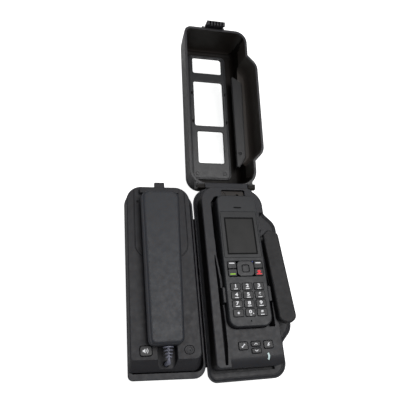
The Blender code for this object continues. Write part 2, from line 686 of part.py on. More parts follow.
def cord_stations():
    """The (centre, direction, radius) of each ring along the ribbed strain relief and the cord."""
    forward = Vector((0, -1, 0))
    stations = []
    for rib in range(RELIEF_RIBS):
        start = RELIEF_START - rib * RIB_PITCH
        radius = RIB_RADIUS - rib * RIB_SHRINK
        for y, size in ((start, radius), (start - RIB_WIDTH, radius), (start - RIB_WIDTH, NECK_RADIUS)):
            stations.append((Vector((0, y, RELIEF_Z)), forward, size))
        stations.append((Vector((0, start - RIB_PITCH, RELIEF_Z)), forward, NECK_RADIUS))
    bend = RELIEF_START - RELIEF_RIBS * RIB_PITCH - CORD_Y
    centre = Vector((0, CORD_Y + bend, RELIEF_Z - bend))
    for step in range(1, 6):
        angle = math.radians(90) * step / 5
        spoke = Vector((0, -math.sin(angle), math.cos(angle)))
        along = Vector((0, -math.cos(angle), -math.sin(angle)))
        radius = NECK_RADIUS + (CORD_RADIUS - NECK_RADIUS) * step / 5
        stations.append((centre + spoke * bend, along, radius))
    stations.append((Vector((0, CORD_Y, CORD_END_Z)), Vector((0, 0, -1)), CORD_RADIUS))
    return stations


def make_cord():
    """The ribbed strain relief leaves the handset, then the cord turns down into the housing."""
    mesh = bmesh.new()
    sides = 14
    across = Vector((1, 0, 0))
    rings = []
    for centre, along, radius in cord_stations():
        up = along.cross(across)
        ring = []
        for side in range(sides):
            angle = math.tau * side / sides
            offset = across * math.cos(angle) + up * math.sin(angle)
            ring.append(mesh.verts.new(centre + offset * radius))
        rings.append(ring)
    mesh.faces.new(rings[0])
    mesh.faces.new(rings[-1])
    for first, second in zip(rings, rings[1:]):
        for side in range(sides):
            after = (side + 1) % sides
            mesh.faces.new((first[side], first[after], second[after], second[side]))
    solid("handset_cord", mesh, CORD, (CORD_X, 0, 0))


def main():
    for old in list(bpy.data.objects):
        bpy.data.objects.remove(old)
    make_plate()
    make_dock_tray()
    make_dock_cradle()
    make_dock_controls()
    make_lid()
    make_phone()
    make_antenna()
    make_handset_unit()
    make_handset()


main()
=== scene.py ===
"""Looks for the marine satellite phone station: fine shells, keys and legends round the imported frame.

Shapes are built in millimetres, in the frame's own axes, and MM turns them into metres. The lid and its latch
are built closed, over the dock, and then turned to the frame's open rest position.
"""

import json
import math

import bmesh
import bpy
from mathutils import Matrix, Vector


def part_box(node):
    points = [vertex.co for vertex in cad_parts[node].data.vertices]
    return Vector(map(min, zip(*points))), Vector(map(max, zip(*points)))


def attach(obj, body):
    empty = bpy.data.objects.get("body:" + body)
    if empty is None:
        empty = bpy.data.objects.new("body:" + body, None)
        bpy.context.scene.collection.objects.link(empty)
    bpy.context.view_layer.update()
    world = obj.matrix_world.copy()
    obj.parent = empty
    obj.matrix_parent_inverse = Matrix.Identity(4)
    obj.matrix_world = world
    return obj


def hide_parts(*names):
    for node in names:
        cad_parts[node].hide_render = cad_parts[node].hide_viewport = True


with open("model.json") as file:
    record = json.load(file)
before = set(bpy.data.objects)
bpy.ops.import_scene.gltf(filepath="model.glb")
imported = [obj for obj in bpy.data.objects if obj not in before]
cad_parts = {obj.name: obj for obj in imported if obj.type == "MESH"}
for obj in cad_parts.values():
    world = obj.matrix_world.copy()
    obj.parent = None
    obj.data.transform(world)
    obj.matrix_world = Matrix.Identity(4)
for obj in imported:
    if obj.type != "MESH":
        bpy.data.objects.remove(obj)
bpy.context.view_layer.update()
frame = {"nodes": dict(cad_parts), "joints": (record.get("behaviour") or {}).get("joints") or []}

MM = 0.001
ARC_STEP_DEG = 7.5
ROUND_STEPS = 4
SMOOTH_DEG = 32


# ---------------------------------------------------------------- frame


def box_mm(node):
    low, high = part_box(node)
    return low / MM, high / MM


def top_of(node):
    """The centre of a node's top as (x, y), and its height."""
    low, high = box_mm(node)
    return ((low.x + high.x) / 2, (low.y + high.y) / 2), high.z


def joint(name):
    return next(found for found in frame["joints"] if found["name"] == name)


def turn_about(point, angle_deg):
    """A turn about the X axis through a point in millimetres."""
    there = Matrix.Translation(Vector(point))
    return there @ Matrix.Rotation(math.radians(angle_deg), 4, "X") @ there.inverted()


HINGE = Vector(joint("lid_hinge")["pos_m"]) / MM
LID_OPEN = turn_about(HINGE, joint("lid_hinge")["range_deg"][0])
LATCH_POINT = LID_OPEN.inverted() @ (Vector(joint("latch_swing")["pos_m"]) / MM)
LATCH_OPEN = LID_OPEN @ turn_about(LATCH_POINT, joint("latch_swing")["range_deg"][0])


def closed_box(node):
    """A lid node's box in the closed position, in millimetres."""
    closing = LID_OPEN.inverted()
    points = [closing @ (vertex.co / MM) for vertex in frame["nodes"][node].data.vertices]
    low = Vector([min(point[axis] for point in points) for axis in range(3)])
    high = Vector([max(point[axis] for point in points) for axis in range(3)])
    return low, high


# ---------------------------------------------------------------- shapes


def show(name, data):
    made = bpy.data.objects.new(name, data)
    bpy.context.scene.collection.objects.link(made)
    return made


def solid(name, mesh):
    bmesh.ops.recalc_face_normals(mesh, faces=mesh.faces)
    data = bpy.data.meshes.new(name)
    mesh.to_mesh(data)
    mesh.free()
    return show(name, data)


def rounded(corners):
    """An anticlockwise outline through (x, y, radius) corners, each one an arc."""
    outline = []
    for index, (x, y, radius) in enumerate(corners):
        corner = Vector((x, y))
        before = (Vector(corners[index - 1][:2]) - corner).normalized()
        after = (Vector(corners[(index + 1) % len(corners)][:2]) - corner).normalized()
        half = before.angle(after) / 2
        centre = corner + (before + after).normalized() * radius / math.sin(half)
        spoke = corner + before * radius / math.tan(half) - centre
        turn = 1 if before.cross(after) < 0 else -1
        sweep = math.pi - 2 * half
        steps = max(2, round(math.degrees(sweep) / ARC_STEP_DEG))
        for step in range(steps + 1):
            point = centre + Matrix.Rotation(turn * sweep * step / steps, 2) @ spoke
            outline.append((point.x, point.y))
    return outline


def inset(corners, distance):
    """The same corners moved inwards, with their arcs kept concentric."""
    moved = []
    for index, (x, y, radius) in enumerate(corners):
        corner = Vector((x, y))
        along = (corner - Vector(corners[index - 1][:2])).normalized()
        onward = (Vector(corners[(index + 1) % len(corners)][:2]) - corner).normalized()
        first = Vector((-along.y, along.x))
        second = Vector((-onward.y, onward.x))
        corner += (first + second) * distance / (1 + first.dot(second))
        bend = 1 if along.cross(onward) > 0 else -1
        moved.append((corner.x, corner.y, max(radius - bend * distance, 0.2)))
    return moved


def box_corners(width, height, radius, centre=(0, 0)):
    x, y = centre
    signs = ((-1, -1), (1, -1), (1, 1), (-1, 1))
    return [(x + across * width / 2, y + along * height / 2, radius) for across, along in signs]


def span_corners(low, high, radius):
    """A rounded rectangle between two opposite (x, y) corners."""
    centre = ((low[0] + high[0]) / 2, (low[1] + high[1]) / 2)
    return box_corners(high[0] - low[0], high[1] - low[1], radius, centre)


def node_corners(node, radius, grow=0.0):
    low, high = box_mm(node)
    return span_corners((low.x - grow, low.y - grow), (high.x + grow, high.y + grow), radius)


def round_top(height, radius, start=0.0):
    """(height, inset) steps up a quarter round that ends in a flat top."""
    steps = []
    for step in range(ROUND_STEPS + 1):
        angle = math.pi / 2 * step / ROUND_STEPS
        rise, run = math.sin(angle), 1 - math.cos(angle)
        steps.append((height - radius + radius * rise, start + radius * run))
    return steps


def round_bottom(height, radius, start=0.0):
    return [(2 * height - z, distance) for z, distance in reversed(round_top(height, radius, start))]


def bridge(mesh, first, second):
    """Joins two loops of vertices with a band of faces."""
    for index in range(len(first)):
        after = (index + 1) % len(first)
        mesh.faces.new((first[index], first[after], second[after], second[index]))


def close_tube(mesh, rings):
    """Joins rings of vertices, in order, into one closed shape."""
    mesh.faces.new(reversed(rings[0]))
    mesh.faces.new(rings[-1])
    for first, second in zip(rings, rings[1:]):
        bridge(mesh, first, second)


def level_ring(mesh, outline, height):
    return [mesh.verts.new((x, y, height)) for x, y in outline]


def add_loft(mesh, sections):
    """Joins (corners, height) sections, lowest first, into one closed shape."""
    close_tube(mesh, [level_ring(mesh, rounded(corners), height) for corners, height in sections])


def stepped(corners, steps):
    return [(inset(corners, distance), height) for height, distance in steps]


def lofts(name, outlines, steps):
    """Separate shapes in one mesh, which share their (height, inset) steps."""
    mesh = bmesh.new()
    for corners in outlines:
        add_loft(mesh, stepped(corners, steps))
    return solid(name, mesh)


def block(name, corners, low, high, edge=0.5, foot=0.0):
    """An upright prism with rounded top edges and, if asked, rounded bottom edges."""
    steps = round_bottom(low, foot) if foot else [(low, 0)]
    return lofts(name, [corners], steps + round_top(high, edge))


def ring(name, corners, section):
    """A closed ring along an outline, whose section is a loop of (inset, height) points."""
    mesh = bmesh.new()
    loops = [level_ring(mesh, rounded(inset(corners, distance)), height) for distance, height in section]
    for row, line in enumerate(loops):
        bridge(mesh, line, loops[(row + 1) % len(loops)])
    return solid(name, mesh)


def turned(name, start, along, stations, sides=48):
    """A turned piece: (distance, radius) stations along a direction from a start point."""
    along = Vector(along).normalized()
    side = along.orthogonal().normalized()
    other = along.cross(side)
    mesh = bmesh.new()
    rings = []
    for distance, radius in stations:
        centre = Vector(start) + along * distance
        line = []
        for index in range(sides):
            angle = math.tau * index / sides
            line.append(mesh.verts.new(centre + (side * math.cos(angle) + other * math.sin(angle)) * radius))
        rings.append(line)
    close_tube(mesh, rings)
    return solid(name, mesh)


def rod(name, start, end, radius, edge=0.0, sides=48):
    length = (Vector(end) - Vector(start)).length
    stations = [(0, radius), (length, radius)]
    if edge:
        stations = [(0, radius - edge), (edge, radius), (length - edge, radius), (length, radius - edge)]
    return turned(name, start, Vector(end) - Vector(start), stations, sides)


def side_prism(name, outline, left, right):
    """A prism along X with a (y, z) outline."""
    mesh = bmesh.new()
    near = [mesh.verts.new((left, y, z)) for y, z in outline]
    far = [mesh.verts.new((right, y, z)) for y, z in outline]
    close_tube(mesh, [far, near])
    return solid(name, mesh)


def settle(made):
    """Turns an object's modifiers into its mesh."""
    graph = bpy.context.evaluated_depsgraph_get()
    data = bpy.data.meshes.new_from_object(made.evaluated_get(graph))
    made.modifiers.clear()
    made.data = data
    return made


def combine(target, other, operation="DIFFERENCE", crossing=False):
    """Joins or cuts with another shape, whose own parts may cross each other if so asked."""
    modifier = target.modifiers.new("combine", "BOOLEAN")
    modifier.operation = operation
    modifier.use_self = crossing
    modifier.object = other
    settle(target)
    bpy.data.objects.remove(other)
    return target


def flared(floor, surface, flare, over=3.0):
    """A cutter's steps from a pocket's floor to its flare at the surface, which may be above or below."""
    away = 1 if surface > floor else -1
    steps = [(floor, 0)]
    for step in range(ROUND_STEPS + 1):
        angle = math.pi / 2 * step / ROUND_STEPS
        steps.append((surface - away * flare * (1 - math.sin(angle)), -flare * (1 - math.cos(angle))))
    return steps + [(surface + away * over, -flare)]


def cut(target, outlines, floor, surface, flare=0.4):
    """Cuts pockets that don't touch each other."""
    return combine(target, lofts("cutter", outlines, flared(floor, surface, flare)))


def eased(points, rounds=2):
    """Corner cutting: the line keeps its ends, and its corners become curves."""
    for _ in range(rounds):
        line = [points[0]]
        for first, second in zip(points, points[1:]):
            line.append(tuple(0.75 * a + 0.25 * b for a, b in zip(first, second)))
            line.append(tuple(0.25 * a + 0.75 * b for a, b in zip(first, second)))
        line.append(points[-1])
        points = line
    return points


def flat_pieces(name, outlines, low, high):
    """Thin prisms that share one mesh, from lists of (x, y) points."""
    mesh = bmesh.new()
    for outline in outlines:
        close_tube(mesh, [level_ring(mesh, outline, low), level_ring(mesh, outline, high)])
    return solid(name, mesh)


def arc_band(centre, inner, outer, start_deg, end_deg, steps=10):
    """A curved stripe as a list of (x, y) points."""
    sweep = [math.radians(start_deg + (end_deg - start_deg) * step / steps) for step in range(steps + 1)]
    line, back = (
        [(centre[0] + radius * math.cos(angle), centre[1] + radius * math.sin(angle)) for angle in sweep]
        for radius in (outer, inner)
    )
    return line + back[::-1]


def stroke(points, width):
    """A stripe of even width along a line of (x, y) points."""
    left, right = [], []
    for index, (x, y) in enumerate(points):
        before = Vector(points[max(index - 1, 0)])
        after = Vector(points[min(index + 1, len(points) - 1)])
        along = (after - before).normalized()
        side = Vector((-along.y, along.x)) * width / 2
        left.append((x + side.x, y + side.y))
        right.append((x - side.x, y - side.y))
    return right + left[::-1]


def finish_mesh(made):
    """Scales a piece to metres and smooths its rounds while its flats stay flat."""
    made.data.transform(Matrix.Scale(MM, 4))
    made.data.materials.clear()
    made.data.shade_smooth()
    made.data.set_sharp_from_angle(angle=math.radians(SMOOTH_DEG))
    modifier = made.modifiers.new("normals", "WEIGHTED_NORMAL")
    modifier.keep_sharp = True
    return settle(made)


def dress(made, name, body, material, slot, *nodes, place=None):
    """Names a piece, gives it its material, and lets it ride in place of its CAD nodes."""
    if place is not None:
        made.data.transform(place)
    finish_mesh(made)
    made.name = name
    made.data.name = name
    made.data.materials.append(material)
    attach(made, body)
    if nodes:
        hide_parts(*nodes)
    return made


def paint(piece, look, chosen):
    """Gives another material to the faces that a test on (centre, normal) picks."""
    piece.data.materials.append(look)
    index = len(piece.data.materials) - 1
    for face in piece.data.polygons:
        if chosen(face.center / MM, face.normal):
            face.material_index = index


# ---------------------------------------------------------------- materials


class Nodes:
    """A short way to build one material's node tree."""

    def __init__(self, name):
        self.material = bpy.data.materials.new(name)
        self.material.use_nodes = True
        self.tree = self.material.node_tree
        self.shader = self.tree.nodes["Principled BSDF"]
        self.place = self.tree.nodes.new("ShaderNodeTexCoord").outputs["Object"]

    def feed(self, socket, value):
        """Links an input to another node's output, or sets it to a plain value."""
        if isinstance(value, bpy.types.NodeSocket):
            self.tree.links.new(value, socket)
        else:
            socket.default_value = value

    def add(self, kind, inputs=None, **settings):
        node = self.tree.nodes.new(kind)
        for key, value in settings.items():
            setattr(node, key, value)
        for key, value in (inputs or {}).items():
            self.feed(node.inputs[key], value)
        return node

    def noise(self, size_mm, detail=3.0, rough=0.6):
        inputs = {"Vector": self.place, "Scale": 1 / (size_mm * MM), "Detail": detail, "Roughness": rough}
        return self.add("ShaderNodeTexNoise", inputs).outputs["Fac"]

    def remap(self, value, low, high, to_low, to_high):
        inputs = {"Value": value, "From Min": low, "From Max": high, "To Min": to_low, "To Max": to_high}
        return self.add("ShaderNodeMapRange", inputs).outputs["Result"]

    def mix(self, factor, first, second):
        """Mixes two colours; sockets 6, 7 and 2 are the mix node's colour inputs and output."""
        node = self.add("ShaderNodeMix", {"Factor": factor}, data_type="RGBA")
        for socket, value in ((node.inputs[6], first), (node.inputs[7], second)):
            self.feed(socket, (*value, 1.0) if isinstance(value, tuple) else value)
        return node.outputs[2]

    def soft_normal(self, radius_mm):
        return self.add("ShaderNodeBevel", {"Radius": radius_mm * MM}, samples=4).outputs["Normal"]

    def edges(self, soft, gain):
        """A mask that is bright along the edges, where the softened normal leaves the real one."""
        hard = self.add("ShaderNodeNewGeometry").outputs["Normal"]
        dot = self.add("ShaderNodeVectorMath", {0: soft, 1: hard}, operation="DOT_PRODUCT").outputs["Value"]
        return self.remap(dot, 1.0, 1.0 - 1.0 / gain, 0.0, 1.0)

    def bump(self, height, depth_mm, under=None):
        inputs = {"Height": height, "Distance": depth_mm * MM, "Strength": 1.0}
        if under is not None:
            inputs["Normal"] = under
        return self.add("ShaderNodeBump", inputs).outputs["Normal"]

    def wire(self, **sockets):
        for key, value in sockets.items():
            self.feed(self.shader.inputs[key.replace("_", " ")], value)
        return self.material


def moulded(name, colour, roughness, grain_mm=0.45, depth_mm=0.03, wear_and_highlight=0.8, mottle=0.18, gloss=0.5):
    """Moulded plastic: fine eroded grain, faint mottling between cool and warm, and paler edges, partly
    scuffed by use and partly painted highlight where rounded edges catch the light.
    """
    nodes = Nodes(name)
    red, green, blue = colour
    cool = (red * (1 - mottle), green, blue * (1 + mottle))
    warm = (red * (1 + mottle), green * (1 - mottle / 3), blue * (1 - mottle))
    speckle = nodes.remap(nodes.noise(1.8, 2.0), 0.35, 0.65, 0.0, 1.0)
    base = nodes.mix(speckle, cool, warm)
    clouds = nodes.remap(nodes.noise(22.0, 4.0), 0.3, 0.7, 0.0, 1.0)
    dusty = tuple(channel * 1.28 + 0.002 for channel in colour)
    base = nodes.mix(nodes.remap(clouds, 0, 1, 0.0, 0.55), base, dusty)
    # Paler edges, partly scuffed by use and partly painted highlight where rounded edges catch the light.
    rubbed_and_highlight = tuple(channel * 2.4 + 0.012 for channel in colour)
    patchy = nodes.remap(nodes.noise(4.0, 3.0), 0.35, 0.6, 0.25, 1.0)
    soft = nodes.soft_normal(0.6)
    edge = nodes.add("ShaderNodeMath", {0: nodes.edges(soft, 5.0), 1: patchy}, operation="MULTIPLY")
    worn_and_highlight = nodes.remap(edge.outputs[0], 0, 1, 0, wear_and_highlight)
    base = nodes.mix(worn_and_highlight, base, rubbed_and_highlight)
    grain = nodes.noise(grain_mm, 4.0, 0.7)
    shine = nodes.remap(nodes.noise(6.0, 3.0), 0.3, 0.7, roughness - 0.05, roughness + 0.07)
    nodes.wire(Specular_IOR_Level=gloss)
    return nodes.wire(Base_Color=base, Roughness=shine, Normal=nodes.bump(grain, depth_mm, under=soft))


def rubber(name, colour, roughness=0.75):
    nodes = Nodes(name)
    pores = nodes.noise(0.7, 3.0, 0.65)
    base = nodes.mix(nodes.remap(nodes.noise(9.0), 0.3, 0.7, 0, 1), colour, tuple(c * 1.7 for c in colour))
    return nodes.wire(Base_Color=base, Roughness=roughness, Normal=nodes.bump(pores, 0.04))


def brushed(name, colour, roughness=0.32):
    """Steel with fine lines along X."""
    nodes = Nodes(name)
    stretch = nodes.add("ShaderNodeVectorMath", {0: nodes.place, 1: (60, 4000, 4000)}, operation="MULTIPLY")
    lines = nodes.add("ShaderNodeTexNoise", {"Vector": stretch.outputs[0], "Scale": 1.0}).outputs["Fac"]
    base = nodes.mix(lines, tuple(c * 0.8 for c in colour), colour)
    shine = nodes.remap(lines, 0.3, 0.7, roughness - 0.06, roughness + 0.1)
    return nodes.wire(Base_Color=base, Metallic=1.0, Roughness=shine, Normal=nodes.bump(lines, 0.01))


def printed(name, colour, glow=0.0):
    """Printed legend ink, also used for the status lens; the glow is painted light on the key legends and the
    lens's own light on the status lens.
    """
    nodes = Nodes(name)
    patches = nodes.remap(nodes.noise(0.8), 0.3, 0.7, 0, 0.25)
    base = nodes.mix(patches, colour, tuple(c * 0.75 for c in colour))
    material = nodes.wire(Base_Color=base, Roughness=0.45)
    # On the key legends this glow is painted light; on the status lens it is the lens's own light.
    if glow:
        nodes.wire(Emission_Color=(*colour, 1), Emission_Strength=glow)
    return material


def glassy(name, colour, roughness, coat=0.0):
    """Hard gloss window plastic with faint smears."""
    nodes = Nodes(name)
    smear = nodes.noise(14.0, 5.0, 0.65)
    shine = nodes.remap(smear, 0.35, 0.7, roughness, roughness + 0.08)
    base = nodes.mix(nodes.remap(smear, 0.3, 0.7, 0, 0.5), colour, tuple(c * 1.15 for c in colour))
    return nodes.wire(Base_Color=base, Roughness=shine, Coat_Weight=coat, Coat_Roughness=roughness)


def clear(name):
    """Clear polycarbonate with a faint green edge."""
    nodes = Nodes(name)
    smear = nodes.noise(20.0, 4.0)
    facing = nodes.add("ShaderNodeLayerWeight", {"Blend": 0.35}).outputs["Facing"]
    tint = nodes.mix(facing, (0.97, 1.0, 0.99), (0.62, 0.86, 0.8))
    shine = nodes.remap(smear, 0.4, 0.7, 0.02, 0.06)
    see_through = nodes.remap(facing, 0.0, 1.0, 0.06, 0.5)
    return nodes.wire(Base_Color=tint, Roughness=shine, Alpha=see_through, IOR=1.58)


def board_green(name):
    """Solder mask with darker routed lines."""
    nodes = Nodes(name)
    inputs = {"Vector": nodes.place, "Scale": 1 / (3.0 * MM)}
    cells = nodes.add("ShaderNodeTexVoronoi", inputs, feature="DISTANCE_TO_EDGE").outputs["Distance"]
    lines = nodes.remap(cells, 0.0, 0.12, 1.0, 0.0)
    base = nodes.mix(lines, (0.008, 0.06, 0.025), (0.03, 0.16, 0.07))
    return nodes.wire(Base_Color=base, Roughness=0.4, Normal=nodes.bump(lines, 0.05))


SHELL = moulded("shell_plastic", (0.026, 0.027, 0.032), 0.52)
COVER = moulded("cover_plastic", (0.022, 0.022, 0.026), 0.55)
HANDSET = moulded("handset_plastic", (0.033, 0.036, 0.043), 0.5)
CRADLE = moulded("cradle_plastic", (0.0262, 0.0268, 0.031), 0.5)
# A darker copy of the shell plastic: painted shade on the dock's front-facing faces and on the deck strip in
# front of the raised block.
FRONT_PAINTED_SHADE = moulded("front_painted_shade_plastic", (0.0165, 0.017, 0.0185), 0.55)
PAD = moulded("pad_plastic", (0.017, 0.017, 0.0185), 0.42, 0.4, 0.012, 0.5, 0.08)
# Copies of the lid plastic with painted light: a warm copy on the lid's far inner wall, and a paler copy on
# the rim edge.
FAR_WALL_PAINTED_LIGHT = moulded("lid_far_wall_painted_light_plastic", (0.029, 0.024, 0.02), 0.45, 0.5, 0.012, 0.2, 0.1)
LID_EDGE_PAINTED_LIGHT = moulded("lid_edge_painted_light_plastic", (0.038, 0.038, 0.041), 0.42)
# A much paler copy of the handset plastic: painted light on the handset's left-facing sides.
HANDSET_SIDE_PAINTED_LIGHT = moulded("handset_side_painted_light_plastic", (0.078, 0.081, 0.09), 0.55)
# A paler, warmer copy of the lid plastic: painted light on the bulge's inner walls.
BULGE_WALL_PAINTED_LIGHT = moulded("bulge_wall_painted_light_plastic", (0.052, 0.044, 0.038), 0.5, 0.5, 0.012, 0.2, 0.1)
PHONE = moulded("phone_plastic", (0.0285, 0.0302, 0.034), 0.46, 0.3, 0.015, 0.8, 0.08)
PADDLE = moulded("paddle_plastic", (0.018, 0.018, 0.0195), 0.6, 0.5, 0.04, 0.35)
KEY = moulded("key_plastic", (0.014, 0.0145, 0.017), 0.42, 0.25, 0.01, 0.55, 0.08)
NAV = moulded("nav_plastic", (0.022, 0.023, 0.027), 0.4, 0.25, 0.01, 0.55, 0.08)
LID_RIM_LOOK = moulded("lid_plastic", (0.026, 0.026, 0.029), 0.36, 0.5, 0.02, 0.45)
# A near-black copy of the lid plastic: painted shade inside the lid and on its hinge side.
LID_PAINTED_SHADE = moulded("lid_painted_shade_plastic", (0.0085, 0.0066, 0.0053), 0.5, 0.5, 0.012, 0.2, 0.1, 0.2)
PANEL = moulded("panel_plastic", (0.026, 0.027, 0.030), 0.36, 0.4, 0.012, 0.5, 0.08)
INNER = moulded("inner_plastic", (0.008, 0.008, 0.009), 0.6)
SEAL = rubber("seal_rubber", (0.024, 0.025, 0.029), 0.6)
# Pale bluish grey rubber: partly its own tone, partly painted highlight on the strain relief's ribs.
CORD_WITH_PAINTED_SHEEN = rubber("cord_rubber", (0.16, 0.165, 0.21), 0.42)
STEEL = brushed("brushed_steel", (0.55, 0.55, 0.56))
DARK_STEEL = brushed("blackened_steel", (0.016, 0.016, 0.017), 0.5)
# A near-black copy of the plastic: painted shade in the narrow gap beside the cradle's raised block.
GAP_PAINTED_SHADE = moulded("gap_painted_shade_plastic", (0.007, 0.0062, 0.0055), 0.6, wear_and_highlight=0.3)
RECESS = moulded("recess_plastic", (0.034, 0.029, 0.025), 0.5)
CLEAR = clear("clear_pane")
WINDOW = glassy("window_gloss", (0.024, 0.025, 0.028), 0.42)
BEZEL = rubber("display_border", (0.0015, 0.0015, 0.0018), 0.9)
DISPLAY = glassy("display_panel", (0.013, 0.013, 0.013), 0.5)
BOARD = board_green("circuit_board")
# The legend inks glow a little: painted light, since the keys are no lamps.
WHITE = printed("legend_white", (0.9, 0.91, 0.93), 0.22)
GREEN = printed("legend_green", (0.36, 0.72, 0.02), 0.25)
RED = printed("legend_red", (0.86, 0.03, 0.05), 0.25)
BLUE = printed("legend_blue", (0.05, 0.07, 0.35), 0.1)
LAMP = printed("status_lens", (0.72, 0.9, 0.9), 0.15)


# ---------------------------------------------------------------- dimensions taken from the frame

# The dock: the tray with its rim, and the cradle that stands in it.
TRAY_LOW, TRAY_HIGH = box_mm("dock_tray")
SEAL_TOP = box_mm("dock_seal")[1].z
RIM_TOP = SEAL_TOP - 1.4
CRADLE_LOW, CRADLE_HIGH = box_mm("dock_cradle")
CRADLE_TOP = CRADLE_HIGH.z
DECK_TOP = RIM_TOP - 0.8
BULGE_WIDTH, BULGE_RUN, BULGE_CORNER = 14.5, 15.0, 20.0
BULGE_SPAN = (-72.5, 69.0)
DOCK_LEFT, DOCK_FRONT = TRAY_LOW.x, TRAY_LOW.y
BULGE_RIGHT = TRAY_HIGH.x
DOCK_RIGHT = BULGE_RIGHT - BULGE_WIDTH
DOCK_BACK = HINGE.y - 4.8
BARREL_RADIUS = TRAY_HIGH.y - HINGE.y
PIN_RADIUS = (box_mm("hinge_pin")[1].z - box_mm("hinge_pin")[0].z) / 2
BAR_LEFT, BAR_RIGHT = 15, 76
BLOCK_FRONT = -114.5
SLOPE_BACK, SLOPE_RUN, SLOPE_DROP = -103.4, 13.1, 5.6
DOCK_KEYS = ["dock_key_left", "dock_key_up", "dock_key_down", "dock_key_right"]
KEY_POCKET_FLOOR = 73.8
# The clips: the openings around them, and how far each one's sides are drawn from its CAD box.
CLIP_SPAN = (-42.5, -22.5)
CLIP_ROOM_LEFTS, CLIP_ROOM_WIDTH = (12.4, 72.2), 8.4
CLIP_SHIFTS = {"clip_left": (-0.7, 0.0), "clip_right": (0.0, -0.8)}

# The lid, closed.
LUG_HALF = 4.0
LUGS = ((3.6, 13.8), (77.2, 87.4))
LID_RIM = RIM_TOP + 1.7
LID_TOP = LID_RIM + 55
LID_BACK = HINGE.y - 3.0
LID_FRONT = HINGE.y - 253.0
LATCH_SPAN = (29.5, 57.0)
CATCH_Y = -125.4
LATCH_GROOVES = 5
EAR_LEFTS, EAR_WIDTH = (25.7, 57.5), 3.3
WINDOWS = [
    ((22.4, HINGE.y - 105.4), (63.2, HINGE.y - 53.4)),
    ((19.2, HINGE.y - 190.0), (66.0, HINGE.y - 114.6)),
    ((19.0, HINGE.y - 231.5), (66.0, HINGE.y - 205.0)),
]

# The phone, which is drawn a little wider than its CAD box.
PHONE_LOW, PHONE_HIGH = box_mm("phone_front")
PHONE_REAR_LOW = box_mm("phone_rear")[0].z
PHONE_WIDEN = 0.3
FACE = PHONE_HIGH.z
PHONE_GAP, PADDLE_GAP = 0.6, 0.8
PADDLE_SWEEP_RADIUS = 14.6
POCKET_FLOOR = PHONE_REAR_LOW - 0.7
PADDLE_LOW = box_mm("antenna_paddle")[0]
ANTENNA_PIVOT = tuple(Vector(joint("antenna_swing")["pos_m"]) / MM)
NUMBER_KEYS = ["key_" + name for name in ("1", "2", "3", "4", "5", "6", "7", "8", "9", "star", "0", "hash")]
FUNCTION_KEYS = ["soft_key_left", "soft_key_right", "call_key", "end_key"]
FUNCTION_FIELD = ((23.9, -11.6), (69.4, 8.2))
KEY_HOLE_RADIUS, KEY_GAP = 1.7, 0.3
INK_BELOW, INK_ABOVE = 0.1, 0.12
DIGIT_STRETCH = 1.35
STAR_ARMS = [(math.cos(math.radians(angle)), math.sin(math.radians(angle))) for angle in (0, 60, 120)]

# The call handset unit: its housing, the strain relief's ribs, and the cord's turn down into the housing.
UNIT_LOW, UNIT_HIGH = box_mm("unit_base")
COVER_LOW, COVER_HIGH = box_mm("unit_cover")
UNIT_FRONT = UNIT_LOW.y + 0.4
RECEIVER = top_of("handset_receiver")[0]
CORD_X, CORD_Y = top_of("handset_cord")[0][0], -103.6
CORD_RADIUS, NECK_RADIUS = 2.6, 1.6
RELIEF_START, RELIEF_Z = -86.9, 85.6
RELIEF_RIBS = 4
RIB_PITCH, RIB_RADIUS, RIB_SHRINK = 3.45, 6.0, 0.75

# CAD nodes that are shown as they are, with a look of their own.
PLAIN_NODES = {"mounting_plate": STEEL, "dock_board": BOARD}


def dock_outline(front, back):
    bulge_front, bulge_back = BULGE_SPAN
    corners = [(DOCK_LEFT, front, 11), (DOCK_RIGHT, front, 18), (DOCK_RIGHT, bulge_front - BULGE_RUN, 6)]
    corners += [(BULGE_RIGHT, bulge_front, BULGE_CORNER), (BULGE_RIGHT, bulge_back, BULGE_CORNER)]
    corners += [(DOCK_RIGHT, bulge_back + BULGE_RUN, 6), (DOCK_RIGHT, back, 24), (DOCK_LEFT, back, 24)]
    return corners


def bulge_outline():
    """The side bulge as a trapezoid that runs well into the main outline."""
    inner = DOCK_RIGHT - 30.5
    reach = (BULGE_RIGHT - inner) * BULGE_RUN / BULGE_WIDTH
    front, back = BULGE_SPAN
    outer = [(BULGE_RIGHT, front, BULGE_CORNER), (BULGE_RIGHT, back, BULGE_CORNER)]
    return [(inner, front - reach, 2)] + outer + [(inner, back + reach, 2)]


def phone_outline():
    left, right = PHONE_LOW.x - PHONE_WIDEN, PHONE_HIGH.x + PHONE_WIDEN
    front, back = PHONE_LOW.y, PHONE_HIGH.y
    return [(left, front, 11), (right, front, 11), (right, back, 9), (left, back, 9)]


def paddle_outline():
    """The antenna paddle's outline, from its offsets to the pivot."""
    offsets = [(7.7, -102.6, 7), (20.4, -108.6, 10), (30.3, -102.0, 8)]
    offsets += [(22.9, 6.8, 7), (10.6, 12.5, 6), (1.8, 4.9, 4)]
    return [(ANTENNA_PIVOT[0] + x, ANTENNA_PIVOT[1] + y, radius) for x, y, radius in offsets]


# ---------------------------------------------------------------- dock


def bar_outline():
    """The flat-topped section of the bar that carries the hinge pin, as (y, z) points."""
    return rounded(box_corners(8.4, 7.2, 1.5, (HINGE.y, HINGE.z - 0.2)))


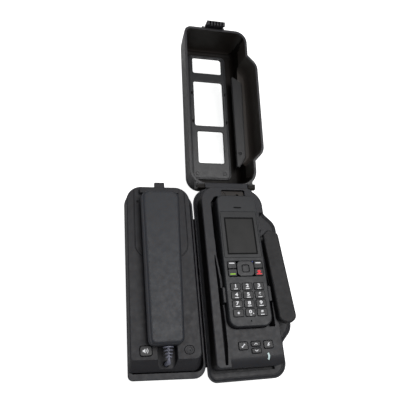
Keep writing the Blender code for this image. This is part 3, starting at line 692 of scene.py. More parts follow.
def make_dock_tray():
    outline = dock_outline(DOCK_FRONT, DOCK_BACK)
    steps = eased([(TRAY_LOW.z, 17), (12, 13), (40, 5), (RIM_TOP - 1.4, 0)])
    tray = lofts("tray", [outline], steps + round_top(RIM_TOP, 0.8))
    hollow = eased([(6.5, 20), (14, 16.5), (40, 9.5), (RIM_TOP - 0.6, 4.8)])
    combine(tray, lofts("hollow", [outline], hollow + [(RIM_TOP - 0.2, 4.6), (RIM_TOP + 2, 4.0)]))
    web_back = DOCK_BACK - 3.5
    web = [(web_back, 52), (HINGE.y, HINGE.z - BARREL_RADIUS), (HINGE.y, 60.5), (web_back, 60.5)]
    combine(tray, side_prism("web", web, BAR_LEFT, BAR_RIGHT), "UNION")
    groove = [(1.6, 59), (1.6, RIM_TOP + 1), (3.6, RIM_TOP + 1), (3.6, 59)]
    combine(tray, ring("groove", outline, groove))
    combine(tray, side_prism("bar", bar_outline(), BAR_LEFT, BAR_RIGHT), "UNION")
    combine(tray, rod("bore", (BAR_LEFT - 1, *HINGE.yz), (BAR_RIGHT + 1, *HINGE.yz), PIN_RADIUS + 0.2))
    recess = [(-130, 51), (-124.4, 51), (-124.4, 57.3), (-130, 57.3)]
    combine(tray, side_prism("recess", recess, LATCH_SPAN[0] - 1.5, LATCH_SPAN[1] + 1.5))
    dress(tray, "tray_shell", "station", SHELL, "shell_plastic", "dock_tray")
    # Painted shade on the tray's front-facing faces.
    paint(tray, FRONT_PAINTED_SHADE, lambda centre, normal: normal.y < -0.3)


def make_seal():
    foot = SEAL_TOP - 4.1
    section = [(1.62, foot), (1.62, RIM_TOP - 0.1), (2.0, RIM_TOP + 0.35), (2.6, RIM_TOP + 0.6)]
    section += [(3.2, RIM_TOP + 0.35), (3.58, RIM_TOP - 0.1), (3.58, foot)]
    seal = ring("seal", dock_outline(DOCK_FRONT, DOCK_BACK), section)
    dress(seal, "rim_seal", "station", SEAL, "seal_rubber", "dock_seal")


def make_hinge_pin():
    low, high = box_mm("hinge_pin")
    pin = rod("pin", (low.x, *HINGE.yz), (high.x, *HINGE.yz), PIN_RADIUS, 0.4)
    dress(pin, "hinge_rod", "station", DARK_STEEL, "steel", "hinge_pin")


def front_slope(lift=0.0):
    """The cutter over the cradle's rounded front slope."""
    outline = []
    for step in range(13):
        share = step / 12
        outline.append((SLOPE_BACK - SLOPE_RUN * share, CRADLE_TOP + lift - SLOPE_DROP * share**1.5))
    outline += [(SLOPE_BACK - SLOPE_RUN, CRADLE_TOP + 6), (SLOPE_BACK, CRADLE_TOP + 6)]
    return side_prism("slope", outline, 19, 92)


def spring_arm_gaps():
    """The openings on each side of the phone that leave a thin spring arm beside it."""
    left_groove = [(18.4, -21, 0.2), (22.0, -21, 1), (22.0, 41, 0.3), (14.4, 41, 0.3)]
    left_groove += [(14.4, 18, 2), (16.6, 0, 6), (18.3, -11, 3)]
    left_opening = [(13.9, 40, 0.5), (24, 40, 0.5), (24, 100, 0.8), (19, 98.5, 3), (13.9, 90, 4)]
    right_groove = [(70, -71, 1), (78.6, -71, 1), (78.6, -23, 2), (74.6, 30, 4), (74.6, 88, 1), (70, 93, 1)]
    return [left_groove, left_opening, right_groove]


def arm_slot():
    """The long slot on the far side of the left spring arm."""
    corners = [(12.1, -111, 1), (15.2, -111, 1), (17.0, -90, 6), (16.9, -64, 3), (15.9, -40, 3)]
    corners += [(15.4, -12, 6), (13.4, 10, 6), (12.3, 22, 0.3), (11.4, 12, 3), (12.2, -20, 3)]
    return corners


def make_dock_cradle():
    deck = [(CRADLE_LOW.z, 7.4), (DECK_TOP - 0.4, 4.7)] + round_top(DECK_TOP, 0.2, 4.7)
    cradle = lofts("cradle", [dock_outline(DOCK_FRONT, DOCK_BACK)], deck)
    raised = [(1.6, BLOCK_FRONT, 6), (85, BLOCK_FRONT, 6), (85, 92, 10), (70, 113, 12), (1.6, 113, 19.5)]
    body = lofts("body", [raised], [(DECK_TOP - 1.2, 0)] + round_top(CRADLE_TOP, 1.6))
    combine(cradle, body, "UNION")
    cut(cradle, [span_corners((2.2, BLOCK_FRONT - 3), (79.5, BLOCK_FRONT), 0.8)], 56, DECK_TOP, 0)
    combine(cradle, front_slope())
    cut(cradle, [span_corners((6, -108), (80, 104), 6)], CRADLE_TOP - 23.5, CRADLE_LOW.z, 0)
    cut(cradle, [inset(phone_outline(), -PHONE_GAP)], POCKET_FLOOR, CRADLE_TOP, 0.5)
    cut(cradle, [arm_slot()], 72, CRADLE_TOP, 0.15)
    for gap in spring_arm_gaps():
        cut(cradle, [gap], 66, CRADLE_TOP, 0.25)
    front, back = CLIP_SPAN
    clip_room = [span_corners((left, front), (left + CLIP_ROOM_WIDTH, back), 0.6) for left in CLIP_ROOM_LEFTS]
    cut(cradle, clip_room, 65.5, CRADLE_TOP, 0.3)
    cut(cradle, [span_corners((30, 96), (62, 109), 2)], 70, CRADLE_TOP, 0.8)
    cut(cradle, [span_corners((78.4, 44), (88, 77), 1.5)], DECK_TOP + 0.4, CRADLE_TOP, 0.5)
    cut(cradle, [inset(paddle_outline(), -PADDLE_GAP)], PADDLE_LOW.z - 0.6, CRADLE_TOP, 0.4)
    y, z = ANTENNA_PIVOT[1:]
    combine(cradle, rod("sweep", (75.6, y, z), (100, y, z), PADDLE_SWEEP_RADIUS, sides=64))
    cut(cradle, [span_corners((71, y - 5.2), (77, y + 5.2), 1)], z - 5.4, CRADLE_TOP, 0.3)
    key_pockets = [node_corners(name, KEY_HOLE_RADIUS, 0.35) for name in DOCK_KEYS]
    cut(cradle, key_pockets, KEY_POCKET_FLOOR, CRADLE_TOP, 0.3)
    combine(cradle, flat_pieces("light_hole", [crescent(0.25)], KEY_POCKET_FLOOR, CRADLE_TOP + 3))
    dress(cradle, "cradle_shell", "station", CRADLE, "shell_plastic", "dock_cradle")
    # Painted shade on the deck strip in front of the raised block.
    paint(cradle, FRONT_PAINTED_SHADE, lambda centre, normal: centre.y < BLOCK_FRONT - 3 and normal.z > 0.5)
    # Painted shade: near-black on the walls and deck of the gap left of the raised block.
    paint(cradle, GAP_PAINTED_SHADE, gap_painted_shade_faces)


def gap_painted_shade_faces(centre, normal):
    """True for the cradle's faces in the narrow gap on its left, which get painted shade."""
    in_gap = centre.x < 3.0 and centre.z < CRADLE_TOP - 2 and centre.y < 100
    return in_gap and (normal.x < -0.5 or normal.z > 0.5)


def make_spring_arm():
    """The thin curved wall beside the phone that leads into the right clip."""
    line = [(75.0, 12), (75.7, 2), (75.9, -8), (75.4, -16), (74.9, -21.6)]
    arm = flat_pieces("arm", [stroke(line, 1.1)], 66.2, CRADLE_TOP - 0.4)
    dress(arm, "spring_arm_right", "station", CRADLE, "shell_plastic")


def make_antenna_plug():
    """The connector block in the recess above the phone, with its two openings."""
    low = box_mm("connector_block")[0]
    floor = CRADLE_TOP - 3.2
    plug = block("plug", span_corners((30.4, 96.4), (61.6, 108.6), 1.6), low.z, floor, 0.3)
    cut(plug, [span_corners((50.6, 99.4), (54.4, 104.2), 0.8)], floor - 4, floor, 0.3)
    cut(plug, [span_corners((33.2, 98.2), (36.0, 106.6), 0.6)], floor - 1, floor, 0.6)
    dress(plug, "antenna_plug", "station", RECESS, "inner_black", "connector_block")


def crescent(grow=0.0):
    """The status light's curved outline, bulging to the right."""
    low, high = box_mm("status_light")
    inner, outer, half_deg = 6.1, 8.2, 30
    centre = (high.x - outer, (low.y + high.y) / 2)
    sweep = half_deg + 4 * grow
    return arc_band(centre, inner - grow, outer + grow, -sweep, sweep, 16)


def make_dock_keys():
    for name in DOCK_KEYS:
        fill_node(name, name + "_cap", "station", KEY, 1.5, 0.7)


def make_status_lamp():
    low, high = box_mm("status_light")
    lamp = flat_pieces("lamp", [crescent()], low.z, high.z + 4)
    combine(lamp, front_slope(0.15))
    cap = span_corners((low.x - 2, low.y - 6), (high.x + 2, high.y + 6), 0.5)
    cut(lamp, [cap], CRADLE_TOP + 0.25, CRADLE_TOP + 10, 0)
    dress(lamp, "status_lamp", "station", LAMP, "status_lens", "status_light")


def make_clips():
    for name, (left_shift, right_shift) in CLIP_SHIFTS.items():
        low, high = box_mm(name)
        span = span_corners((low.x + left_shift, low.y), (high.x + right_shift, high.y), 0.9)
        clip = block("clip", span, low.z, high.z, 0.8)
        dress(clip, name + "_finger", name, CRADLE, "shell_plastic", name)


def fill_node(node, name, body, look, radius, edge, slot="key_plastic"):
    """A rounded block with the size of its CAD node's box, such as a key cap."""
    low, high = box_mm(node)
    dress(block(node, node_corners(node, radius), low.z, high.z, edge), name, body, look, slot, node)


def mark(name, key, look, outlines):
    """Printed shapes on a key, given as (x, y) outlines about its centre."""
    centre, top = top_of(key)
    moved = [[(x + centre[0], y + centre[1]) for x, y in outline] for outline in outlines]
    piece = flat_pieces("mark", moved, top - INK_BELOW, top + INK_ABOVE)
    return dress(piece, name, key, look, "key_plastic")


def bar(width, height, centre=(0, 0)):
    return [(x, y) for x, y, _ in box_corners(width, height, 0, centre)]


def make_dock_marks():
    for name, sign in (("up", 1), ("down", -1)):
        chevron = [(-1.9, -0.8 * sign), (0, 0.7 * sign), (1.9, -0.8 * sign)]
        mark("mark_" + name, "dock_key_" + name, WHITE, [stroke(chevron, 0.75)])
    handset = [
        stroke([(-1.5, -1.3), (-0.6, -0.5), (0.5, 0.6), (1.3, 1.5)], 0.8),
        arc_band((-1.35, -1.1), 0.0, 0.95, 100, 330),
        arc_band((1.2, 1.3), 0.0, 0.95, -80, 150),
    ]
    mark("mark_call_toggle", "dock_key_left", WHITE, handset)
    microphone = [
        bar(1.3, 2.2, (0, 0.7)),
        arc_band((0, 0.2), 1.15, 1.6, 190, 350),
        bar(0.5, 1.1, (0, -1.7)),
        stroke([(-1.7, -1.9), (1.7, 2.1)], 0.45),
    ]
    mark("mark_mute", "dock_key_right", WHITE, microphone)


# ---------------------------------------------------------------- lid


def lug_outline():
    """A hinge lug's (y, z) outline: a rounded square around the hinge line, with its web to the lid."""
    half = LUG_HALF
    square = [(-half, -half, 2.0), (half, -half, 2.0), (half, half, 1.6)]
    web = [(2, half, 0.2), (2, 14, 0.2), (-14, 14, 0.2), (-14, 4.6, 0.2), (-half, 4.6, 0.2)]
    return rounded([(HINGE.y + y, HINGE.z + z, radius) for y, z, radius in square + web])


def make_lid_shell():
    main = [(DOCK_LEFT, LID_FRONT, 11), (DOCK_RIGHT, LID_FRONT, 18)]
    main += [(DOCK_RIGHT, LID_BACK, 24), (DOCK_LEFT, LID_BACK, 24)]
    rim = LID_RIM
    outer = eased([(rim, 0), (rim + 30, 1.6), (rim + 47, 3.6), (rim + 53, 6.5), (LID_TOP, 10.5)])
    side = eased([(rim, 0), (rim + 26, 1.4), (rim + 36, 3.4), (rim + 40, 7)])
    inner = eased([(rim + 0.6, 3.7), (rim + 21, 4.2), (rim + 46, 6.6), (rim + 50.5, 9.5), (rim + 52.5, 13)])
    side_inner = eased([(rim + 0.6, 3.7), (rim + 26, 4.2), (rim + 34, 6.4), (rim + 37.4, 9.6)])
    mouth = [(rim - 2, 3.2), (rim, 3.2)]
    lid = lofts("lid", [main], outer)
    combine(lid, lofts("bulge", [bulge_outline()], side), "UNION")
    for left, right in LUGS:
        combine(lid, side_prism("lug", lug_outline(), left, right), "UNION")
    combine(lid, lofts("hollow", [main], mouth + inner))
    combine(lid, lofts("bulge_hollow", [bulge_outline()], mouth + side_inner))
    combine(lid, rod("bore", (LUGS[0][0] - 1, *HINGE.yz), (LUGS[1][1] + 1, *HINGE.yz), PIN_RADIUS + 0.2))
    y, z = LATCH_POINT.yz
    ear = [(LID_FRONT + 3, rim + 4), (y - 3, rim + 6), (y - 3, rim + 13), (LID_FRONT + 3, rim + 15)]
    for left in EAR_LEFTS:
        combine(lid, side_prism("ear", ear, left, left + EAR_WIDTH), "UNION")
    combine(lid, rod("ear_bore", (25, y, z), (62, y, z), 1.5))
    openings = [inset(span_corners(low, high, 4), -1.6) for low, high in WINDOWS]
    cut(lid, openings, rim + 51, LID_TOP, 0.5)
    dress(lid, "lid_body", "lid", LID_RIM_LOOK, "shell_plastic", "lid_shell", place=LID_OPEN)
    closing = LID_OPEN.inverted()
    turning = closing.to_3x3()
    # Lit and shaded copies of the lid plastic, picked by where each face lies and which way it faces: painted
    # shade and painted light.
    for look in (LID_PAINTED_SHADE, BULGE_WALL_PAINTED_LIGHT, FAR_WALL_PAINTED_LIGHT, LID_EDGE_PAINTED_LIGHT):
        paint(lid, look, lambda centre, normal: lid_look(closing @ centre, turning @ normal) is look)


def lid_look(centre, normal):
    """The material of a face of the closed lid: painted shade on the inner walls and hinge side, painted
    light on the bulge walls, far inner wall and rim edge, and the plain lid plastic elsewhere.
    """
    if faces_inwards(centre, normal):
        if centre.x > DOCK_RIGHT - 5:
            return BULGE_WALL_PAINTED_LIGHT
        return FAR_WALL_PAINTED_LIGHT if centre.y < LID_FRONT + 9 and normal.y > 0.5 else LID_PAINTED_SHADE
    if centre.y > LID_BACK + 1 and abs(normal.x) < 0.5:
        return LID_PAINTED_SHADE
    return LID_EDGE_PAINTED_LIGHT if centre.z < LID_RIM + 0.7 and normal.z < -0.5 else LID_RIM_LOOK


def faces_inwards(centre, normal):
    """True for the faces that line the closed lid, away from its rim and lugs."""
    if not LID_FRONT < centre.y < LID_BACK or centre.z < LID_RIM + 0.5:
        return False
    towards = Vector((45 - centre.x, -centre.y)).normalized()
    return normal.z < -0.3 or normal.xy.dot(towards) > 0.3


def make_lid_panel():
    low, high = closed_box("lid_window_panel")
    face = low.z
    outline = span_corners((low.x, low.y), (high.x, high.y), 8)
    panel = lofts("panel", [outline], round_bottom(face, 0.6) + [(high.z, 0)])
    for (left, front), (right, back) in WINDOWS:
        cut(panel, [span_corners((left, front), (right, back), 3)], high.z + 2, face, 1.0)
    raised = [(1.5, face + 0.5), (1.5, face - 0.2), (1.9, face - 0.6)]
    raised += [(2.6, face - 0.6), (3.0, face - 0.2), (3.0, face + 0.5)]
    combine(panel, ring("border", outline, raised), "UNION")
    notches = [span_corners((x, y), (x + 2.4, y + 5), 0.4) for x in (14.6, 69.0) for y in (-46, 2)]
    cut(panel, notches, high.z + 1, face, 0.2)
    screws = [(x, HINGE.y - 36) for x in (19.4, 62.4)]
    cut(panel, [box_corners(6, 6, 2.9, place) for place in screws], face + 0.35, face, 0.1)
    heads = [box_corners(4.6, 4.6, 2.2, place) for place in screws]
    combine(panel, lofts("heads", heads, [(face + 0.1, 0.3), (face + 0.3, 0), (face + 1, 0)]), "UNION")
    dress(panel, "window_frame", "lid", PANEL, "lid_inner", "lid_window_panel", place=LID_OPEN)
    for name, (near, far) in zip(("pane_screen", "pane_keypad", "pane_dock_keys"), WINDOWS):
        low, high = closed_box(name)
        pane = block("pane", inset(span_corners(near, far, 4), -1.2), low.z, high.z, 0.4)
        dress(pane, name + "_clear", "lid", CLEAR, "clear_pane", name, place=LID_OPEN)


def make_lid_pad():
    low, high = closed_box("lid_pad")
    hinge = HINGE.y
    outline = [(77.2, hinge - 196, 3), (94.8, hinge - 184, 6), (92.8, hinge - 60, 6)]
    outline += [(88.0, hinge - 50, 5), (77.4, hinge - 37, 3)]
    pad = lofts("pad", [outline], round_bottom(low.z, 0.7) + [(high.z, 0)])
    edge = [(0.3, low.z + 1), (0.5, low.z - 0.1), (0.9, low.z - 0.4), (1.4, low.z - 0.3), (1.7, low.z + 1)]
    combine(pad, ring("edge", outline, edge), "UNION")
    x, y = 83.7, hinge - 65
    cut(pad, [box_corners(5.2, 5.2, 2.5, (x, y))], low.z + 1.2, low.z, 0.3)
    dress(pad, "bulge_pad", "lid", PAD, "shell_plastic", "lid_pad", place=LID_OPEN)
    head = turned("screw", (x, y, low.z + 1.6), (0, 0, -1), [(0, 2.1), (0.9, 2.1), (1.3, 1.6)], 32)
    slots = [box_corners(width, height, 0.2, (x, y)) for width, height in ((2.6, 0.5), (0.5, 2.6))]
    combine(head, lofts("slots", slots, [(low.z - 1, 0), (low.z + 0.9, 0)]), crossing=True)
    dress(head, "pad_screw", "lid", PANEL, "shell_plastic", place=LID_OPEN)


def latch_grooves(near, far, top):
    """A row of narrow cutters across the latch, between two y values."""
    left, right = LATCH_SPAN
    pitch = (right - left) / (LATCH_GROOVES + 1)
    centres = [left + pitch * index for index in range(1, LATCH_GROOVES + 1)]
    outlines = [span_corners((x - 1.1, near), (x + 1.1, far), 0.3) for x in centres]
    return lofts("grooves", outlines, [(50, 0), (top, 0)])


def make_latch():
    y, z = LATCH_POINT.yz
    outline = [(y - 2.4, z + 4, 1.2), (y - 1.6, 53, 1.0), (y - 0.8, 51.8, 0.6), (CATCH_Y, 52.6, 0.6)]
    outline += [(CATCH_Y, 55.4, 0.5), (y + 2.2, 56.4, 0.6), (y + 2.2, z + 3, 0.8), (y + 0.8, z + 4.6, 0.8)]
    latch = side_prism("latch", rounded(outline), LATCH_SPAN[0], LATCH_SPAN[1])
    combine(latch, rod("bore", (LATCH_SPAN[0] - 1, y, z), (LATCH_SPAN[1] + 1, y, z), 1.5))
    combine(latch, latch_grooves(y - 6, y - 2.3, z + 1))
    combine(latch, latch_grooves(y - 1.2, -125, 57))
    dress(latch, "latch_tab", "latch", SHELL, "shell_plastic", "lid_latch", place=LATCH_OPEN)
    low, high = closed_box("latch_pin")
    pin = rod("pin", (low.x, y, z), (high.x, y, z), (high.z - low.z) / 2, 0.3)
    dress(pin, "latch_rod", "lid", STEEL, "steel", "latch_pin", place=LID_OPEN)


# ---------------------------------------------------------------- phone


def make_phone_front():
    outline = phone_outline()
    edge = eased([(PHONE_LOW.z, 0), (FACE - 2.0, 0), (FACE - 0.7, 0.3), (FACE, 1.5)], 3)
    front = lofts("front", [outline], edge)
    cut(front, [inset(outline, 2.2)], FACE - 2.6, PHONE_LOW.z, 0)
    cut(front, [node_corners("phone_window", 1.5, 0.3)], FACE - 1.2, FACE, 0.15)
    cut(front, [node_corners("phone_display", 0.6, 0.3)], FACE - 5, FACE, 0)
    holes = [node_corners(name, KEY_HOLE_RADIUS, KEY_GAP) for name in NUMBER_KEYS]
    holes.append(span_corners(FUNCTION_FIELD[0], FUNCTION_FIELD[1], 2.5))
    cut(front, holes, FACE - 5, FACE, 0.25)
    x = (PHONE_LOW.x + PHONE_HIGH.x) / 2
    small = [box_corners(10, 1.8, 0.8, (x, 79.6)), box_corners(1.4, 1.4, 0.6, (x, -64.8))]
    cut(front, small, FACE - 5, FACE, 0.2)
    dress(front, "phone_face", "phone", PHONE, "phone_plastic", "phone_front")
    lefts = [x - 4.7 + 1.6 * step for step in range(6)]
    slats = [span_corners((left, 78.6), (left + 0.7, 80.6), 0.2) for left in lefts]
    slats = lofts("slats", slats, [(FACE - 2.4, 0), (FACE - 0.5, 0)])
    dress(slats, "earpiece_slats", "phone", INNER, "inner_black")


def make_phone_rear():
    outline = phone_outline()
    top = box_mm("phone_rear")[1].z
    steps = eased([(PHONE_REAR_LOW, 5), (PHONE_REAR_LOW + 1.4, 2.4), (68.5, 0.7), (72, 0), (top - 0.8, 0)])
    rear = lofts("rear", [outline], steps + round_top(top, 0.4)[1:])
    cut(rear, [inset(outline, 3.4)], 67, top, 0)
    dress(rear, "phone_back", "phone", PHONE, "phone_plastic", "phone_rear")
    places = [(x, -6 + 5.2 * step) for step in range(15) for x in (PHONE_LOW.x, PHONE_HIGH.x)]
    ribs = [box_corners(0.9, 2.4, 0.35, place) for place in places]
    ribs = lofts("ribs", ribs, [(70, 0.1), (71, 0), (87.5, 0), (88.2, 0.15)])
    dress(ribs, "side_grips", "phone", KEY, "phone_plastic")


def make_phone_display():
    low, high = box_mm("phone_window")
    window = block("window", node_corners("phone_window", 1.3), low.z, FACE + 0.05, 0.12)
    cut(window, [node_corners("phone_display", 0.6, 1.3)], FACE - 0.35, FACE + 0.05, 0.05)
    dots = [box_corners(1.1, 1.1, 0.5, (x, high.y - 4.4)) for x in (32.5, 36.6, 40.7)]
    cut(window, dots, FACE - 0.3, FACE + 0.05, 0)
    dress(window, "display_window_plate", "phone", WINDOW, "display_window", "phone_window")
    border = block("border", node_corners("phone_display", 0.5, 1.25), FACE - 0.6, FACE - 0.22, 0.05)
    dress(border, "display_border", "phone", BEZEL, "display_window")
    screen = block("screen", inset(node_corners("phone_display", 0.5), 0.7), FACE - 0.6, FACE - 0.12, 0.03)
    dress(screen, "display_screen", "phone", DISPLAY, "display_panel", "phone_display")
    insides = (("phone_board", BOARD, "circuit_board"), ("phone_battery", INNER, "inner_black"))
    for node, look, slot in insides:
        fill_node(node, node + "_block", "phone", look, 2, 0.3, slot)


def make_phone_keys():
    for name in NUMBER_KEYS + FUNCTION_KEYS:
        fill_node(name, name + "_cap", name, KEY, 1.4, 0.5)
    low, high = box_mm("nav_ring")
    wheel = block("wheel", node_corners("nav_ring", 5.5), low.z, high.z, 0.8)
    cut(wheel, [node_corners("select_key", 2, 0.4)], low.z - 1, high.z, 0.4)
    dress(wheel, "nav_wheel", "nav", NAV, "key_plastic", "nav_ring")
    fill_node("select_key", "select_cap", "select_key", NAV, 1.8, 0.6)


def letters(text, size, centre, top):
    """Bold characters as a thin mesh, centred on a point."""
    curve = bpy.data.curves.new("letters", "FONT")
    curve.body = text
    curve.size = size
    curve.offset = size * 0.035
    curve.extrude = 0.11
    curve.align_x = "CENTER"
    curve.align_y = "CENTER"
    drawn = show("letters", curve)
    graph = bpy.context.evaluated_depsgraph_get()
    data = bpy.data.meshes.new_from_object(drawn.evaluated_get(graph))
    bpy.data.objects.remove(drawn)
    data.transform(Matrix.Scale(DIGIT_STRETCH, 4, (1, 0, 0)))
    centre_now = sum((Vector(corner[:2]) for corner in box_of(data)), Vector((0, 0))) / 2
    data.transform(Matrix.Translation((centre[0] - centre_now.x, centre[1] - centre_now.y, top)))
    return show("letters", data)


def box_of(data):
    xs = [vertex.co.x for vertex in data.vertices]
    ys = [vertex.co.y for vertex in data.vertices]
    return (min(xs), min(ys)), (max(xs), max(ys))


def make_phone_marks():
    for name, digit in zip(NUMBER_KEYS, "123456789*0#"):
        centre, top = top_of(name)
        if digit == "*":
            star = [stroke([(-1.5 * c, -1.5 * s), (1.5 * c, 1.5 * s)], 0.75) for c, s in STAR_ARMS]
            mark("mark_star", name, WHITE, star)
            continue
        size = 5.4 if digit != "#" else 3.6
        sign = letters(digit, size, (centre[0], centre[1] + 1.0), top)
        dress(sign, "digit_" + name[4:], name, WHITE, "key_plastic")
        bars = [bar(5.2 if digit in "3679" else 4.6, 0.9, (0, -2.75))]
        if digit == "0":
            bars = [bar(1.6, 0.5, (3.3, -1.2)), bar(0.5, 1.6, (3.3, -1.2)), bar(2.0, 0.8, (0.2, -3.0))]
        mark("bar_" + name[4:], name, WHITE, bars)
    for side in ("left", "right"):
        mark("bar_soft_" + side, "soft_key_" + side, WHITE, [bar(6.6, 1.3, (0, 2.0))])
    mark("bar_call", "call_key", GREEN, [bar(6.6, 1.3, (0, -1.9))])
    dome = [bar(6.6, 1.5, (0, -2.3)), arc_band((0, 0.2), 0.0, 2.4, 0, 180), bar(2.4, 2.4, (0, -0.4))]
    mark("mark_end", "end_key", RED, dome)
    high = box_mm("nav_ring")[1]
    disc = arc_band((high.x - 1.2, high.y - 1.2), 0, 0.8, 0, 350, 16)
    spot = flat_pieces("spot", [disc], high.z - 0.6, high.z - 0.2)
    dress(spot, "lock_dot", "phone", BLUE, "key_plastic")


def make_antenna():
    low, high = box_mm("antenna_paddle")
    outline = paddle_outline()
    middle = (low.z + high.z) / 2
    half = (high.z - low.z) / 2
    steps = []
    for step in range(13):
        angle = math.radians(-90 + 15 * step)
        lift = math.copysign(abs(math.sin(angle)) ** 0.75, math.sin(angle))
        steps.append((middle + half * lift, 2.4 * (1 - math.cos(angle)) ** 1.6))
    paddle = lofts("paddle", [outline], steps)
    dress(paddle, "antenna_body", "antenna", PADDLE, "phone_plastic", "antenna_paddle")
    low, high = box_mm("antenna_pivot")
    y, z = ANTENNA_PIVOT[1:]
    pivot = rod("pivot", (low.x, y, z), (high.x, y, z), (high.z - low.z) / 2, 0.3, 64)
    dress(pivot, "antenna_boss", "phone", INNER, "inner_black", "antenna_pivot")


# ---------------------------------------------------------------- call handset


def unit_outline(front, widen=0.0):
    """The housing's outline, whose front edge runs slightly askew."""
    left, right, back = UNIT_LOW.x, UNIT_HIGH.x + widen, UNIT_HIGH.y
    return [(left, front + 2.4, 6), (right, front - 0.9, 14), (right, back, 21), (left, back, 21)]


def make_unit_base():
    top = UNIT_HIGH.z
    steps = eased([(UNIT_LOW.z, 9), (12, 6.3), (40, 2.4), (top - 1.6, 0)])
    base = lofts("base", [unit_outline(UNIT_FRONT)], steps + round_top(top, 0.9))
    inner_steps = [(6, 13.5), (12, 10.5), (40, 6.6), (top + 2, 4)]
    combine(base, lofts("hollow", [unit_outline(UNIT_FRONT + 3, 1.8)], inner_steps))
    dress(base, "unit_shell", "station", SHELL, "shell_plastic", "unit_base")


def blended(first, second, share):
    return [tuple(a + (b - a) * share for a, b in zip(one, other)) for one, other in zip(first, second)]


def make_unit_cover():
    low = [(-94.9, -110.2, 4), (-11.5, -113.2, 10), (-11.5, 114.3, 20), (-94.9, 114.3, 20)]
    high = [(-94.0, -99.4, 4), (-13.0, -102.4, 8), (-13.0, 113.0, 19), (-94.0, 113.0, 19)]
    top, foot = COVER_HIGH.z, COVER_LOW.z
    sections = [(low, foot), (low, foot + 1.2), (blended(low, high, 0.05), foot + 2.3)]
    sections.append((blended(low, high, 0.93), top - 2.4))
    for height, distance in round_top(top, 1.5):
        sections.append((inset(high, distance), height))
    mesh = bmesh.new()
    add_loft(mesh, sections)
    cover = solid("cover", mesh)
    cut(cover, [span_corners((-90, -76), (-16.5, 109), 16)], top - 3, foot - 1, 0)
    tongue = [(-85.5, 16.8, 18), (-19.6, 16.8, 18), (-19.6, 125, 2), (-85.5, 125, 2)]
    groove = [(-0.2, top + 1), (-0.2, top - 0.1), (0.1, top - 0.9)]
    groove += [(0.9, top - 0.9), (1.2, top - 0.1), (1.2, top + 1)]
    combine(cover, ring("groove", tongue, groove))
    cut(cover, [span_corners((-63.2, -110.6), (-41.4, -78), 10.5)], 68, top, 1.2)
    holes = [node_corners("speaker_key", 3, 0.35), node_corners("microphone_port", 4.8, 0.14)]
    cut(cover, holes, 70.8, top, 0.35)
    cut(cover, [box_corners(7, 7, 3.4, (CORD_X, CORD_Y))], 60, 72, 0)
    cut(cover, [node_corners("hook_plunger", 3.3, 0.4)], 74, top, 0.3)
    cut(cover, [span_corners((-81.6, 90.2), (-79.2, 93.2), 0.3)], top - 2, top, 0)
    dress(cover, "unit_top", "station", COVER, "shell_plastic", "unit_cover")


def make_speaker_key():
    fill_node("speaker_key", "speaker_cap", "speaker_key", KEY, 2.8, 0.8)
    icon = [
        bar(1.3, 2.0, (-3.0, 0)),
        [(-2.4, -1.0), (-0.7, -2.4), (-0.7, 2.4), (-2.4, 1.0)],
        arc_band((-1.0, 0), 1.5, 2.1, -50, 50),
        arc_band((-1.0, 0), 3.0, 3.6, -50, 50),
    ]
    mark("mark_speaker", "speaker_key", WHITE, icon)


def make_microphone():
    low, high = box_mm("microphone_port")
    port = block("port", node_corners("microphone_port", 4.6), low.z, high.z, 0.8)
    x, y = top_of("microphone_port")[0]
    cut(port, [box_corners(6.2, 6.2, 3.0, (x, y))], high.z - 0.5, high.z, 0.3)
    combine(port, rod("hole", (x + 0.8, y - 0.4, high.z - 4), (x + 0.8, y - 0.4, high.z + 1), 0.6, sides=24))
    dress(port, "microphone_plug", "station", COVER, "inner_black", "microphone_port")


def make_end_stop():
    low, high = box_mm("end_stop")
    stop = block("stop", span_corners((low.x, low.y), (high.x, high.y - 7.5), 2), low.z, high.z, 0.9)
    tab = block("tab", span_corners((-58.7, 104), (-45.8, high.y), 1), low.z + 0.5, 84.5, 0.5)
    combine(stop, tab, "UNION")
    dress(stop, "end_stop_plate", "station", COVER, "shell_plastic", "end_stop")


def make_hook_and_ringer():
    fill_node("hook_plunger", "hook_button", "hook", INNER, 2.9, 1.0, "inner_black")
    low, high = box_mm("ringer")
    centre = top_of("ringer")[0]
    can = rod("can", (*centre, low.z), (*centre, high.z), (high.x - low.x) / 2, 0.8, 96)
    dress(can, "ringer_can", "station", INNER, "inner_black", "ringer")


def handset_outline():
    """The handset tapers towards its cord."""
    low, high = box_mm("handset_back")
    return [(low.x + 3.0, low.y, 8), (high.x - 5.4, low.y, 8), (high.x, high.y, 10), (low.x, high.y, 10)]


def make_handset_back():
    outline = handset_outline()
    low, high = box_mm("handset_back")
    top, split = high.z, low.z
    crown = [(top - 4.6, 0.25), (top - 1.4, 1.2), (top - 0.1, 3.4), (top, 5.4)]
    steps = eased([(split, 0.25), (split + 0.6, 0)] + crown)
    back = lofts("back", [outline], steps)
    cut(back, [inset(outline, 3)], top - 3, split - 0.5, 0)
    dress(back, "handset_shell", "handset", HANDSET, "handset_plastic", "handset_back")
    # Painted light on the handset's left-facing sides.
    paint(back, HANDSET_SIDE_PAINTED_LIGHT, lambda centre, normal: normal.x < -0.6)


